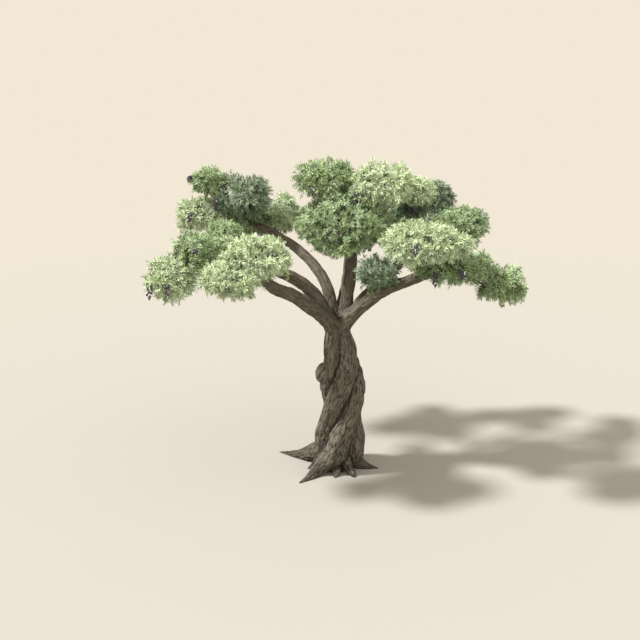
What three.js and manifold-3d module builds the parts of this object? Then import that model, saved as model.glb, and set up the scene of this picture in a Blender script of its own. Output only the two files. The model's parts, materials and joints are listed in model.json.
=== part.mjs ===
// An old olive tree: a trunk of twisted strands on spreading root spurs, curved boughs,
// and a crown of separate masses of foliage.
// Millimetres and degrees, +Z up. The origin is the centre of the flat cut at ground level.
// +X is to the right and +Y to the back. Bearings run from +X towards +Y.

import * as THREE from "three";
import { mergeVertices } from "three/addons/utils/BufferGeometryUtils.js";
import Module from "manifold-3d";

const wasm = await Module();
wasm.setup();

// ---------- driving dimensions ----------

const SEAT_GAP = 0.4; // left between two pieces that touch

const FORK_HEIGHT = 2400; // where the trunk hands over to the boughs
const TWIST = 165; // how far the strands wind round the trunk between these two heights
const TWIST_FROM = 200;
const TWIST_TO = 2150;
const STRAND_OFFSET = 0.56; // a strand's distance from the trunk's axis, as a share of the trunk's radius
const STRAND_RADIUS = 0.48; // a strand's own radius, as a share of the trunk's radius
const CORE_RADIUS = 0.6; // the heartwood between the strands, as a share of the trunk's radius
const TRUNK_BOW = 80; // how far the trunk's middle stands to the right of its foot
const HEAD_RADIUS = 160; // the swelling between the boughs
const HEAD_DEPTH = 40; // how far its centre is below the fork
const CROOK = 80; // how far a strand's end goes out and up past the fork, towards its bough

// The trunk's radius at each height: flared foot, waist, swollen middle and narrow neck.
const TRUNK_PROFILE = [
  { height: 0, radius: 450 },
  { height: 350, radius: 410 },
  { height: 900, radius: 322 },
  { height: 1500, radius: 335 },
  { height: 2000, radius: 280 },
  { height: FORK_HEIGHT, radius: 215 },
];

// Each strand rises from its root bearing, and runs out at its foot into a spur of that reach.
const STRANDS = [
  { foot: 150, reach: 1120, root: 150, thickness: 1.12 },
  { foot: 227, reach: 890, root: 250, thickness: 1.04 },
  { foot: 352, reach: 690, root: 342, thickness: 0.98 },
  { foot: 68, reach: 840, root: 64, thickness: 1.04 },
];
const SPUR_TIP_RADIUS = 22;
const SPUR_KNEE_HEIGHT = 300; // where a spur turns up into its strand

const BURR = { bearing: 186, height: 1620, stand: 262, width: 270, tall: 370 }; // woody knob on the left

// Each bough leaves the head on a bearing, bends through its points and ends in the mass it carries.
const BOUGHS = [
  {
    name: "left_front",
    bearing: 229,
    through: [[-640, -700, 3040], [-1000, -1120, 3330]],
    into: "left_front_upper",
    butt: 122,
    tip: 68,
  },
  {
    name: "right_front",
    bearing: 310,
    through: [[610, -420, 3030], [1060, -750, 3310]],
    into: "right_front_lower",
    butt: 118,
    tip: 58,
  },
  {
    name: "centre",
    bearing: 20,
    through: [[190, 0, 3480]],
    into: "centre_middle",
    butt: 106,
    tip: 88,
  },
  {
    name: "left_back",
    bearing: 140,
    through: [[-165, 200, 3000], [-500, 600, 3390], [-960, 1030, 3640]],
    into: "left_back_lower",
    butt: 110,
    tip: 66,
  },
  {
    name: "left_side",
    bearing: 195,
    through: [[-480, -250, 3110]],
    into: "left_side_inner",
    butt: 92,
    tip: 62,
  },
  {
    name: "right_back",
    bearing: 30,
    through: [[830, 500, 3150]],
    into: "right_back_middle",
    butt: 88,
    tip: 58,
  },
  {
    name: "right_side",
    bearing: 350,
    through: [[580, -40, 2980]],
    into: "right_side_inner",
    butt: 80,
    tip: 50,
  },
  {
    name: "back",
    bearing: 90,
    through: [[60, 560, 3050]],
    into: "back_upper",
    butt: 96,
    tip: 62,
  },
];
const BUTT_OFFSET = 100; // how far a bough's centreline starts from the trunk's axis
const BUTT_DEPTH = 40; // and how far below the fork

const SMALL_MASS = 720; // masses no wider than this have fewer facets

// The masses of foliage: centre, overall width, depth and height, tilt in the X-Z plane, and tone.
const MASSES = [
  { name: "left_front_upper", centre: [-1160, -1300, 3750], size: [1040, 900, 700], tilt: 12, tone: "pale" },
  { name: "left_front_lower", centre: [-1510, -1550, 3510], size: [940, 840, 600], tilt: 8, tone: "pale" },
  { name: "left_front_tip", centre: [-2380, -1250, 3430], size: [790, 760, 680], tilt: 0, tone: "pale" },
  { name: "left_side_outer", centre: [-2040, -950, 3750], size: [790, 760, 660], tilt: 0, tone: "mid" },
  { name: "left_side_inner", centre: [-1630, -650, 3700], size: [860, 800, 500], tilt: 0, tone: "pale" },
  { name: "left_back_upper", centre: [-1520, 900, 4300], size: [940, 860, 740], tilt: 0, tone: "dark" },
  { name: "left_back_crest", centre: [-2050, 950, 4550], size: [740, 700, 520], tilt: 0, tone: "mid" },
  { name: "left_back_outer", centre: [-2180, 1150, 4000], size: [1020, 820, 600], tilt: 0, tone: "pale" },
  { name: "left_back_lower", centre: [-1630, 1450, 3870], size: [1020, 900, 680], tilt: 0, tone: "mid" },
  { name: "left_back_inner", centre: [-880, 1500, 3950], size: [740, 740, 680], tilt: 0, tone: "pale" },
  { name: "centre_middle", centre: [120, 0, 4010], size: [1620, 1450, 1010], tilt: 0, tone: "mid" },
  { name: "centre_top_left", centre: [-200, 180, 4700], size: [980, 880, 600], tilt: 0, tone: "mid" },
  { name: "centre_top_right", centre: [660, -200, 4630], size: [980, 860, 620], tilt: 0, tone: "pale" },
  { name: "centre_shoulder", centre: [1150, 340, 4470], size: [790, 780, 540], tilt: 0, tone: "pale" },
  { name: "right_back_inner", centre: [1180, 750, 4160], size: [620, 640, 520], tilt: 0, tone: "dark" },
  { name: "right_back_upper", centre: [1690, 1400, 4200], size: [670, 680, 640], tilt: 0, tone: "dark" },
  { name: "right_back_middle", centre: [2000, 900, 3880], size: [1010, 880, 620], tilt: 0, tone: "mid" },
  { name: "right_back_outer", centre: [2240, 1400, 3810], size: [710, 700, 510], tilt: 0, tone: "dark" },
  { name: "right_front_lower", centre: [1600, -940, 3560], size: [1230, 920, 530], tilt: 0, tone: "mid" },
  { name: "right_front_upper", centre: [1200, -1330, 3990], size: [1350, 1000, 610], tilt: 0, tone: "pale" },
  { name: "right_front_tip", centre: [2380, -850, 3250], size: [830, 800, 640], tilt: 0, tone: "mid" },
  { name: "right_front_inner", centre: [600, -640, 3380], size: [700, 640, 560], tilt: 0, tone: "dark" },
  { name: "back_upper", centre: [240, 1250, 4160], size: [900, 860, 540], tilt: 0, tone: "mid" },
  { name: "back_left", centre: [-80, 1750, 3790], size: [820, 800, 580], tilt: 0, tone: "mid" },
  { name: "back_right", centre: [560, 1800, 3850], size: [800, 760, 580], tilt: 0, tone: "pale" },
  { name: "back_far_left", centre: [-1150, 2020, 3720], size: [780, 740, 560], tilt: 0, tone: "dark" },
  { name: "back_far_right", centre: [1120, 1900, 3680], size: [840, 760, 560], tilt: 0, tone: "mid" },
  { name: "right_side_inner", centre: [1420, -60, 3900], size: [780, 820, 520], tilt: 0, tone: "mid" },
  { name: "left_side_upper", centre: [-1750, 80, 3850], size: [680, 1040, 460], tilt: 0, tone: "mid" },
];

// ---------- finishes ----------

const BARK = { name: "bark", color: "#6b6152", roughness: 0.95, metalness: 0 };
const LEAVES = {
  pale: { name: "leaves_pale", color: "#b4c294", roughness: 0.75, metalness: 0 },
  mid: { name: "leaves_mid", color: "#7f9467", roughness: 0.75, metalness: 0 },
  dark: { name: "leaves_dark", color: "#5e6d4f", roughness: 0.75, metalness: 0 },
};

// ---------- helpers ----------

const radians = THREE.MathUtils.degToRad;

// A point at a bearing and distance from the upright axis through the origin.
const polar = (bearing, distance, height) =>
  new THREE.Vector3(distance * Math.cos(radians(bearing)), distance * Math.sin(radians(bearing)), height);

// A closed geometry as a manifold-3d solid.
function solidOf(geometry) {
  const bare = new THREE.BufferGeometry().setAttribute("position", geometry.getAttribute("position"));
  if (geometry.index) bare.setIndex(geometry.index);
  const merged = mergeVertices(bare, 1e-3);
  return new wasm.Manifold(
    new wasm.Mesh({
      numProp: 3,
      vertProperties: merged.getAttribute("position").array,
      triVerts: new Uint32Array(merged.index.array),
    }),
  );
}

// A named three.js mesh from a solid. A cut can leave chips, so the largest body is kept.
function meshOf(name, solid, finish) {
  const whole = solid.decompose().reduce((a, b) => (a.volume() > b.volume() ? a : b));
  const { numProp, numVert, vertProperties, triVerts } = whole.getMesh();
  const positions = new Float32Array(numVert * 3);
  for (let i = 0; i < numVert; i++) {
    const corner = vertProperties.subarray(i * numProp, i * numProp + 3);
    positions.set(corner, i * 3);
  }
  const geometry = new THREE.BufferGeometry()
    .setAttribute("position", new THREE.BufferAttribute(positions, 3))
    .setIndex(new THREE.BufferAttribute(triVerts, 1));
  geometry.computeVertexNormals();
  const mesh = new THREE.Mesh(geometry, new THREE.MeshStandardMaterial(finish));
  mesh.name = name;
  return mesh;
}

// A closed limb along a curve: a cylinder of unit size, bent along it and tapered by radiusAt(0 to 1).
// Its sides and both its ends can be grown by a little.
function limb(curve, radiusAt, sides, steps, grown) {
  const geometry = new THREE.CylinderGeometry(1, 1, 1, sides, steps);
  const frames = curve.computeFrenetFrames(steps);
  const position = geometry.getAttribute("position");
  const vertex = new THREE.Vector3();
  for (let i = 0; i < position.count; i++) {
    vertex.fromBufferAttribute(position, i);
    const step = Math.round((vertex.y + 0.5) * steps);
    const radius = radiusAt(step / steps) + grown;
    const beyond = { 0: -grown, [steps]: grown }[step] ?? 0;
    const placed = curve
      .getPointAt(step / steps)
      .addScaledVector(frames.tangents[step], beyond)
      .addScaledVector(frames.normals[step], vertex.z * radius)
      .addScaledVector(frames.binormals[step], vertex.x * radius);
    position.setXYZ(i, placed.x, placed.y, placed.z);
  }
  return geometry;
}

// A smooth, repeatable unevenness over directions, from -1 to 1: a few waves with seeded headings.
function unevenness(seed) {
  const random = (n) => {
    const x = Math.sin((seed * 31 + n) * 12.9898) * 43758.5453;
    return x - Math.floor(x);
  };
  const waves = Array.from({ length: 6 }, (_, i) => ({
    heading: new THREE.Vector3().setFromSphericalCoords(
      2.7 + 4.4 * random(i),
      Math.acos(2 * random(i + 10) - 1),
      2 * Math.PI * random(i + 20),
    ),
    phase: 2 * Math.PI * random(i + 30),
  }));
  return (direction) => {
    const heights = waves.map(({ heading, phase }) => Math.sin(heading.dot(direction) + phase));
    return heights.reduce((a, b) => a + b) / waves.length;
  };
}

// ---------- trunk ----------

function trunkRadius(height) {
  const above = Math.max(1, TRUNK_PROFILE.findIndex((s) => s.height >= height));
  const [low, high] = [TRUNK_PROFILE[above - 1], TRUNK_PROFILE[above]];
  const share = THREE.MathUtils.smoothstep(height, low.height, high.height);
  return THREE.MathUtils.lerp(low.radius, high.radius, share);
}

// The bearing of a strand at each height.
const windAt = (root, height) => root + TWIST * THREE.MathUtils.smoothstep(height, TWIST_FROM, TWIST_TO);

function trunkAxis(height) {
  return new THREE.Vector3(TRUNK_BOW * Math.sin((Math.PI * height) / FORK_HEIGHT), 0, height);
}

// A strand from the tip of its root spur, in to the trunk and up round it to the fork.
function strand({ foot, reach, root, thickness }, grown) {
  const stations = [
    { at: polar(foot, reach, -SPUR_TIP_RADIUS), radius: SPUR_TIP_RADIUS },
    { at: polar(foot, reach * 0.72, 10), radius: 62 * thickness },
    { at: polar(foot, reach * 0.46, 110), radius: 120 * thickness },
  ];
  const levels = 8;
  for (let i = 0; i <= levels; i++) {
    const height = THREE.MathUtils.lerp(SPUR_KNEE_HEIGHT, FORK_HEIGHT, i / levels);
    const radius = trunkRadius(height);
    const around = polar(windAt(root, height), STRAND_OFFSET * radius, 0);
    stations.push({ at: trunkAxis(height).add(around), radius: STRAND_RADIUS * radius * thickness });
  }
  const top = stations.at(-1);
  const out = polar(windAt(root, FORK_HEIGHT), CROOK, CROOK);
  stations.push({ at: top.at.clone().add(out), radius: top.radius * 0.93 });
  const curve = new THREE.CatmullRomCurve3(stations.map((s) => s.at), false, "centripetal");
  const radiusAt = (share) => {
    const station = curve.getUtoTmapping(share) * (stations.length - 1);
    const below = Math.min(Math.floor(station), stations.length - 2);
    return THREE.MathUtils.lerp(stations[below].radius, stations[below + 1].radius, station - below);
  };
  return limb(curve, radiusAt, 7, 16, grown);
}

// The heartwood that fills the middle, between the strands.
function core(grown) {
  const heights = [-40, 600, 1200, 1800, FORK_HEIGHT - 40];
  const curve = new THREE.CatmullRomCurve3(heights.map(trunkAxis));
  const radiusAt = (share) => CORE_RADIUS * trunkRadius(THREE.MathUtils.lerp(0, FORK_HEIGHT, share));
  return limb(curve, radiusAt, 10, 8, grown);
}

// An egg-shaped swelling, grown by a little where it serves as a cutter.
function swelling(centre, width, tall, grown) {
  const geometry = new THREE.IcosahedronGeometry(0.5, 1);
  geometry.scale(width + 2 * grown, width + 2 * grown, tall + 2 * grown);
  return geometry.translate(centre.x, centre.y, centre.z);
}

// The whole trunk, grown by a little where it serves as a cutter, and cut flat at the ground.
function trunk(grown = 0) {
  const burr = polar(BURR.bearing, BURR.stand, 0).add(trunkAxis(BURR.height));
  const head = trunkAxis(FORK_HEIGHT - HEAD_DEPTH);
  const pieces = [
    core(grown),
    swelling(head, 2 * HEAD_RADIUS, 2 * HEAD_RADIUS, grown),
    swelling(burr, BURR.width, BURR.tall, grown),
    ...STRANDS.map((s) => strand(s, grown)),
  ].map(solidOf);
  const wood = pieces.reduce((a, b) => a.add(b));
  const above = new THREE.BoxGeometry(4000, 4000, 4000).translate(0, 0, 2000);
  return wood.intersect(solidOf(above));
}

// ---------- foliage ----------

// One uneven mass, flatter below than above, which fills its stated width, depth and height.
function foliage({ centre, size, tilt }, seed, grown = 0) {
  const detail = size[0] > SMALL_MASS ? 2 : 1;
  const geometry = mergeVertices(
    new THREE.IcosahedronGeometry(1, detail).deleteAttribute("normal").deleteAttribute("uv"),
    1e-4,
  );
  const bump = unevenness(seed);
  const position = geometry.getAttribute("position");
  const direction = new THREE.Vector3();
  for (let i = 0; i < position.count; i++) {
    direction.fromBufferAttribute(position, i).normalize();
    const reach = 1 + 0.3 * bump(direction);
    const sag = direction.z < 0 ? 0.8 : 1;
    position.setXYZ(i, direction.x * reach, direction.y * reach, direction.z * reach * sag);
  }
  geometry.rotateY(-radians(tilt));
  geometry.center();
  geometry.computeBoundingBox();
  const natural = geometry.boundingBox.getSize(new THREE.Vector3());
  geometry.scale(
    (size[0] + 2 * grown) / natural.x,
    (size[1] + 2 * grown) / natural.y,
    (size[2] + 2 * grown) / natural.z,
  );
  return geometry.translate(...centre);
}

// ---------- boughs ----------

function bough({ bearing, through, into, butt, tip }, grown = 0) {
  const start = polar(bearing, BUTT_OFFSET, 0).add(trunkAxis(FORK_HEIGHT - BUTT_DEPTH));
  const end = MASSES.find((mass) => mass.name === into).centre;
  const points = [start, ...[...through, end].map((point) => new THREE.Vector3(...point))];
  const curve = new THREE.CatmullRomCurve3(points, false, "centripetal");
  return limb(curve, (share) => THREE.MathUtils.lerp(butt, tip, share), 7, 3 * through.length + 3, grown);
}

// ---------- assembly ----------

// Pieces are placed in turn, and each is cut back from those before it by the seat gap.
const tree = new THREE.Group();
const cutters = [];

function place(name, solid, grownSolid, finish) {
  const clear = cutters.reduce((left, cutter) => left.subtract(cutter), solid);
  tree.add(meshOf(name, clear, finish));
  cutters.push(grownSolid);
}

place("trunk", trunk(), trunk(SEAT_GAP), BARK);
MASSES.forEach((mass, i) => {
  place(
    "foliage_" + mass.name,
    solidOf(foliage(mass, i + 1)),
    solidOf(foliage(mass, i + 1, 2 * SEAT_GAP)),
    LEAVES[mass.tone],
  );
});
BOUGHS.forEach((b) => {
  place("bough_" + b.name, solidOf(bough(b)), solidOf(bough(b, SEAT_GAP)), BARK);
});

export default tree;
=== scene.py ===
"""An old olive tree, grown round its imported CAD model: bark, branches, twigs, leaves and fruit."""

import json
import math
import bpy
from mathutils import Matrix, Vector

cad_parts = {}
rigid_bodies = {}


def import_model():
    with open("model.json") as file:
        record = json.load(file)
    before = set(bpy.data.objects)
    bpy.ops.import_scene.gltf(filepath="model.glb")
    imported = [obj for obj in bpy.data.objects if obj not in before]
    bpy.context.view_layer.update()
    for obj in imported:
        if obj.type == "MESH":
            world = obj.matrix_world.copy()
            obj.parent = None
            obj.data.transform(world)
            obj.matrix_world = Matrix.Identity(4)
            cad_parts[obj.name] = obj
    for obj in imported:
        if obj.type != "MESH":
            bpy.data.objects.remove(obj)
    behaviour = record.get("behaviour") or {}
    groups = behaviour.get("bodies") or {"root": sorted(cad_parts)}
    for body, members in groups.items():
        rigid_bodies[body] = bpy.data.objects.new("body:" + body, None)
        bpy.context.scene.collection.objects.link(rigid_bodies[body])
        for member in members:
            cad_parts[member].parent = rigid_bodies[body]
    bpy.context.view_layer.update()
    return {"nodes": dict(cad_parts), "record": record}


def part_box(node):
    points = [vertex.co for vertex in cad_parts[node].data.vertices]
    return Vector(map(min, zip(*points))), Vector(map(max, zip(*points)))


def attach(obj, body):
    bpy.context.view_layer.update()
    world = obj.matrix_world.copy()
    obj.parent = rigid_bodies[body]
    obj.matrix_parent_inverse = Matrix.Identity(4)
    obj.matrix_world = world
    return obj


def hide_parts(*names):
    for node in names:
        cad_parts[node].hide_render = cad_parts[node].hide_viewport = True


bl_info = {
    "name": "Old Olive Tree",
    "version": (1, 0, 0),
    "blender": (4, 5, 0),
    "location": "3D View > Sidebar > Olive Tree",
    "description": "Grows an old olive tree on its CAD limbs: bark, branches, twigs, leaves and fruit",
    "category": "Add Mesh",
}

import bmesh
import bpy
import numpy as np
from mathutils import Vector, noise
from mathutils.bvhtree import BVHTree

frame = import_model()

BODY = "root"
UP = np.array([0.0, 0.0, 1.0])

# ---------- the trunk and boughs, in metres and degrees, as in the CAD ----------

FORK_HEIGHT = 2.4
TWIST = 165
TWIST_FROM, TWIST_TO = 0.2, 2.15  # heights between which the trunk turns
TRUNK_BOW = 0.08
TRUNK_PROFILE = (  # height and radius
    (0, 0.45),
    (0.35, 0.41),
    (0.9, 0.322),
    (1.5, 0.335),
    (2.0, 0.28),
    (FORK_HEIGHT, 0.215),
)
STRAND_OFFSET, STRAND_RADIUS, CORE_RADIUS = 0.61, 0.435, 0.5  # shares of the trunk's radius
CORE_FLARE, CORE_FLARE_HEIGHT = 0.08, 0.4  # how much wider the core's foot is, and how far up
NECK_HEIGHT = 2.14  # where the strands begin to part
HEAD_RADIUS, HEAD_DEPTH = 0.16, 0.04  # the swelling at the fork, and how far below it its middle is
BURIED_FOOT = 0.04  # how far the core runs on below ground, before the foot is cut flat
SPUR_KNEE = 0.3  # height at which a root spur has become a strand
SPUR_TIP = 0.022
SPUR_STATIONS = ((0.72, 0.01, 0.062), (0.46, 0.11, 0.12))  # share of its reach, height, radius
STRAND_STATIONS = 8
STRANDS = {  # the bough it becomes: foot bearing, reach, bearing where it starts up, thickness
    "right_front": (150, 1.12, 150, 1.12),
    "right_back": (227, 0.89, 250, 1.04),
    "left_back": (352, 0.69, 342, 0.98),
    "left_front": (68, 0.84, 64, 1.04),
}
BURR = {"bearing": 188, "height": 1.62, "offset": 0.285, "width": 0.29, "tall": 0.38}
BOUGHS = {  # bearing, bends, the mass it ends in, radius at the butt and at the tip
    "left_front": (229, ((-0.64, -0.7, 3.04), (-1.0, -1.12, 3.33)), (-1.16, -1.3, 3.75), 0.122, 0.068),
    "right_front": (310, ((0.61, -0.42, 3.03), (1.06, -0.75, 3.31)), (1.6, -0.94, 3.56), 0.118, 0.058),
    "centre": (20, ((0.2, 0, 3.48),), (0.13, 0, 4.01), 0.102, 0.08),
    "left_back": (
        140,
        ((-0.175, 0.2, 3.0), (-0.51, 0.6, 3.385), (-0.96, 1.03, 3.64)),
        (-1.63, 1.45, 3.87),
        0.112,
        0.057,
    ),
    "left_side": (195, ((-0.48, -0.25, 3.08),), (-1.63, -0.65, 3.7), 0.12, 0.062),
    "right_back": (30, ((0.83, 0.5, 3.15),), (2.0, 0.9, 3.88), 0.088, 0.058),
    "right_side": (350, ((0.58, -0.04, 2.98),), (1.42, -0.06, 3.9), 0.08, 0.05),
    "back": (90, ((0.16, 0.56, 3.05),), (0.24, 1.25, 4.16), 0.09, 0.062),
}
BUTT_OFFSET, BUTT_DEPTH = 0.1, 0.04  # where a bough leaves: off the trunk's middle, and below the fork
# A bough with no strand runs down inside the trunk: height, and share of its butt's radius.
ROOT_STATIONS = ((1.8, 0.3), (2.1, 0.62))
ROOT_OFFSET = 0.4  # share of the trunk's radius
EARLY_TAPER = {"left_back": 0.55}  # under 1, a bough slims down early
LATE_TAPER = 1.15
LONG_BARE = {"centre": 0.66}
BARE_SHARE = 0.3  # share of a bough that carries no branches
SKIN_ALLOWANCE = 0.007  # what easing the skin and cutting the furrows take off a limb's radius
TOES = ((192, 0.5), (266, 0.47), (303, 0.54), (22, 0.5), (108, 0.52))  # small roots: bearing, reach
TOE_STATIONS = ((1.0, -0.03), (0.78, 0.05), (0.5, 0.2))  # share of its reach, height
TOE_TOP, TOE_OFFSET = 0.62, 0.36  # where it has gone into the trunk: height, share of the trunk's radius
TOE_RADII = (0.02, 0.055, 0.095, 0.08)

# Each mass of foliage grows from a bough, or on from the branches of the mass before it.
CARRIED_BY = {
    "left_front_upper": "bough_left_front",
    "left_front_lower": "left_front_upper",
    "left_side_inner": "bough_left_side",
    "left_side_outer": "left_side_inner",
    "left_front_tip": "left_side_outer",
    "left_side_upper": "left_side_inner",
    "left_back_lower": "bough_left_back",
    "left_back_outer": "left_back_lower",
    "left_back_upper": "left_back_lower",
    "left_back_crest": "left_back_upper",
    "left_back_inner": "left_back_lower",
    "back_far_left": "left_back_lower",
    "centre_middle": "bough_centre",
    "centre_top_left": "centre_middle",
    "centre_top_right": "centre_middle",
    "centre_shoulder": "centre_top_right",
    "right_back_inner": "centre_shoulder",
    "right_back_middle": "bough_right_back",
    "right_back_upper": "right_back_middle",
    "right_back_outer": "right_back_middle",
    "right_front_lower": "bough_right_front",
    "right_front_upper": "right_front_lower",
    "right_front_tip": "right_front_lower",
    "right_front_inner": "bough_right_front",
    "right_side_inner": "bough_right_side",
    "back_upper": "bough_back",
    "back_right": "back_upper",
    "back_left": "back_right",
    "back_far_right": "back_right",
}

# Where a mass's shoots reach past its CAD shell, or less far than elsewhere: bearing, elevation, metres.
LONG_SHOOTS = {
    "centre_top_left": ((210, -60, 0.12), (190, 30, -0.1), (330, 70, -0.03)),
    "centre_middle": ((195, 50, 0.08), (320, -50, -0.1), (350, 35, 0.08)),
    "centre_shoulder": ((270, 80, -0.04), (285, -45, -0.12), (350, 40, -0.06)),
    "centre_top_right": ((230, 70, 0.06), (310, -60, 0.04)),
    "left_back_upper": ((350, 0, 0.06),),
    "left_back_inner": ((270, 75, 0.04),),
    "left_back_outer": ((190, 45, -0.04),),
    "left_front_lower": ((320, -30, 0.06), (200, -50, -0.05)),
    "left_front_tip": ((190, -40, -0.04), (300, -70, 0.04), (190, 30, 0.04)),
    "right_back_middle": ((330, 65, -0.07),),
    "right_back_inner": ((200, -5, 0.14), (320, -40, 0.06)),
    "right_back_upper": ((200, 45, 0.05), (260, -60, 0.1)),
    "right_front_tip": ((350, 45, -0.1), (200, -45, -0.09)),
    "right_front_lower": ((270, -80, 0.04),),
    "right_front_inner": ((270, 80, -0.1), (350, 15, -0.1), (190, -30, 0.05)),
}

# Where a heavy cluster of fruit shows: mass, bearing and elevation from its middle, ripeness.
FRUIT_CLUSTERS = (
    ("left_back_crest", 207, 17, "ripe"),
    ("left_back_outer", 243, 2, "ripe"),
    ("left_back_upper", 211, -10, "ripe"),
    ("left_side_outer", 274, 20, "ripe"),
    ("left_side_outer", 215, -10, "ripe"),
    ("left_front_tip", 235, -14, "ripe"),
    ("left_front_tip", 271, -9, "ripe"),
    ("centre_top_right", 198, -24, "ripe"),
    ("right_front_upper", 248, -1, "ripe"),
    ("right_front_lower", 235, -15, "ripe"),
    ("right_front_lower", 280, 0, "ripe"),
    ("right_back_inner", 270, 6, "ripe"),
    ("right_front_tip", 259, -19, "green"),
)


# ---------- small helpers ----------


def linear(code):
    """A linear RGBA colour from an sRGB hex code."""
    channels = [int(code[i : i + 2], 16) / 255 for i in (1, 3, 5)]
    return tuple(c / 12.92 if c <= 0.04045 else ((c + 0.055) / 1.055) ** 2.4 for c in channels) + (1.0,)


def unit(vectors):
    """Vectors, one or many, at length 1."""
    vectors = np.asarray(vectors, float)
    return vectors / np.maximum(np.linalg.norm(vectors, axis=-1, keepdims=True), 1e-9)


def polar(bearing, distance, height=0.0):
    """A point at a bearing and distance from the upright axis."""
    turn = math.radians(bearing)
    return np.array([distance * math.cos(turn), distance * math.sin(turn), height])


def towards(bearing, elevation):
    """The unit direction at a bearing and elevation."""
    rise = math.radians(elevation)
    return polar(bearing, math.cos(rise), math.sin(rise))


def smoothstep(value, low, high):
    """0 below low, 1 above high, and an easy curve between."""
    share = np.clip((np.asarray(value, float) - low) / (high - low), 0, 1)
    return share * share * (3 - 2 * share)


def smooth_curve(points, spacing):
    """Places along a smooth curve through points, each with its station: 1.5 is midway from point 1 to 2."""
    inner = np.asarray(points, float)
    p = np.vstack([2 * inner[0] - inner[1], inner, 2 * inner[-1] - inner[-2]])
    places, stations = [], []
    for i in range(1, len(p) - 2):
        before, start, end, after = p[i - 1 : i + 3]
        steps = ((before, start), (start, end), (end, after))
        lead, span, tail = (np.linalg.norm(b - a) ** 0.5 for a, b in steps)
        out = ((start - before) / lead - (end - before) / (lead + span) + (end - start) / span) * span
        into = ((end - start) / span - (after - start) / (span + tail) + (after - end) / tail) * span
        count = max(2, math.ceil(np.linalg.norm(end - start) / spacing))
        w = (np.arange(count) / count)[:, None]
        bend = 3 * (end - start) - 2 * out - into
        places.append(start + out * w + bend * w**2 + (2 * (start - end) + out + into) * w**3)
        stations.append(i - 1 + w[:, 0])
    return np.vstack(places + [p[-2:-1]]), np.concatenate(stations + [[len(inner) - 1]])


def untwisted(places):
    """The heading at each place of a line, and two directions across it that follow it without turning."""
    heading = unit(np.gradient(places, axis=0))
    across = np.empty_like(heading)
    guess = UP if abs(heading[0][2]) < 0.9 else np.array([1.0, 0, 0])
    last = unit(guess - heading[0] * (guess @ heading[0]))
    for i, ahead in enumerate(heading):
        last = unit(last - ahead * (last @ ahead))
        across[i] = last
    return heading, across, np.cross(heading, across)


def tube(places, radii, sides):
    """A closed tube along a line, as corners and triangles."""
    _, across, beside = untwisted(places)
    turn = np.linspace(0, 2 * math.pi, sides, endpoint=False)
    ring = across[:, None] * np.cos(turn)[:, None] + beside[:, None] * np.sin(turn)[:, None]
    walls = places[:, None] + ring * np.asarray(radii)[:, None, None]
    corners = np.vstack([walls.reshape(-1, 3), places[:1], places[-1:]])
    here = np.arange(sides)
    after = (here + 1) % sides
    rows = (np.arange(len(places) - 1) * sides)[:, None]
    low, low_next = (rows + here).ravel(), (rows + after).ravel()
    first, last = len(corners) - 2, len(corners) - 1
    top = (len(places) - 1) * sides
    triangles = np.vstack(
        [
            np.stack([low, low_next, low_next + sides], 1),
            np.stack([low, low_next + sides, low + sides], 1),
            np.stack([np.full(sides, first), after, here], 1),
            np.stack([np.full(sides, last), top + here, top + after], 1),
        ]
    )
    return corners, triangles


def joined(parts):
    """Several (corners, triangles) as one."""
    starts = np.cumsum([0] + [len(corners) for corners, _ in parts[:-1]])
    corners = np.vstack([corners for corners, _ in parts])
    return corners, np.vstack([triangles + start for (_, triangles), start in zip(parts, starts)])


def mesh_arrays(shape):
    """The corners and triangles of a bmesh, which is freed."""
    corners = np.array([v.co for v in shape.verts])
    triangles = np.array([[v.index for v in f.verts] for f in shape.faces])
    shape.free()
    return corners, triangles


def make_piece(name, corners, triangles, materials, choice=None, smooth=False):
    """A mesh object from arrays, with a material for each triangle by number."""
    mesh = bpy.data.meshes.new(name)
    mesh.vertices.add(len(corners))
    mesh.vertices.foreach_set("co", np.asarray(corners, np.float32).ravel())
    mesh.loops.add(len(triangles) * 3)
    mesh.loops.foreach_set("vertex_index", np.asarray(triangles, np.int32).ravel())
    mesh.polygons.add(len(triangles))
    mesh.polygons.foreach_set("loop_start", np.arange(len(triangles), dtype=np.int32) * 3)
    for material in materials:
        mesh.materials.append(material)
    if choice is not None:
        mesh.polygons.foreach_set("material_index", np.asarray(choice, np.int32))
    mesh.polygons.foreach_set("use_smooth", np.full(len(triangles), smooth))
    mesh.update(calc_edges=True)
    piece = bpy.data.objects.new(name, mesh)
    bpy.context.scene.collection.objects.link(piece)
    return piece


def add_node(tree, kind, inputs=None, **settings):
    """Adds a node with its settings. An input takes a value, or the socket that feeds it."""
    node = tree.nodes.new(kind)
    for name, value in settings.items():
        setattr(node, name, value)
    for name, value in (inputs or {}).items():
        if isinstance(value, bpy.types.NodeSocket):
            tree.links.new(value, node.inputs[name])
        else:
            node.inputs[name].default_value = value
    return node


def new_material(name):
    """An empty material, its node tree and its shader."""
    material = bpy.data.materials.new(name)
    material.use_nodes = True
    tree = material.node_tree
    tree.nodes.clear()
    shader = add_node(tree, "ShaderNodeBsdfPrincipled")
    add_node(tree, "ShaderNodeOutputMaterial", {"Surface": shader.outputs[0]})
    return material, tree, shader


def clear_piece(name):
    """Removes an earlier run's piece of that name."""
    old = bpy.data.objects.get(name)
    if old:
        bpy.data.objects.remove(old)


# ---------- the limbs ----------


def trunk_axis(height):
    """The middle of the trunk at a height."""
    return np.array([TRUNK_BOW * math.sin(math.pi * height / FORK_HEIGHT), 0, height])


def trunk_radius(height):
    """The trunk's radius at a height, between the sizes of its profile."""
    above = 1
    while above < len(TRUNK_PROFILE) - 1 and TRUNK_PROFILE[above][0] < height:
        above += 1
    (low, wide), (high, narrow) = TRUNK_PROFILE[above - 1 : above + 1]
    return wide + (narrow - wide) * float(smoothstep(height, low, high))


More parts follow.
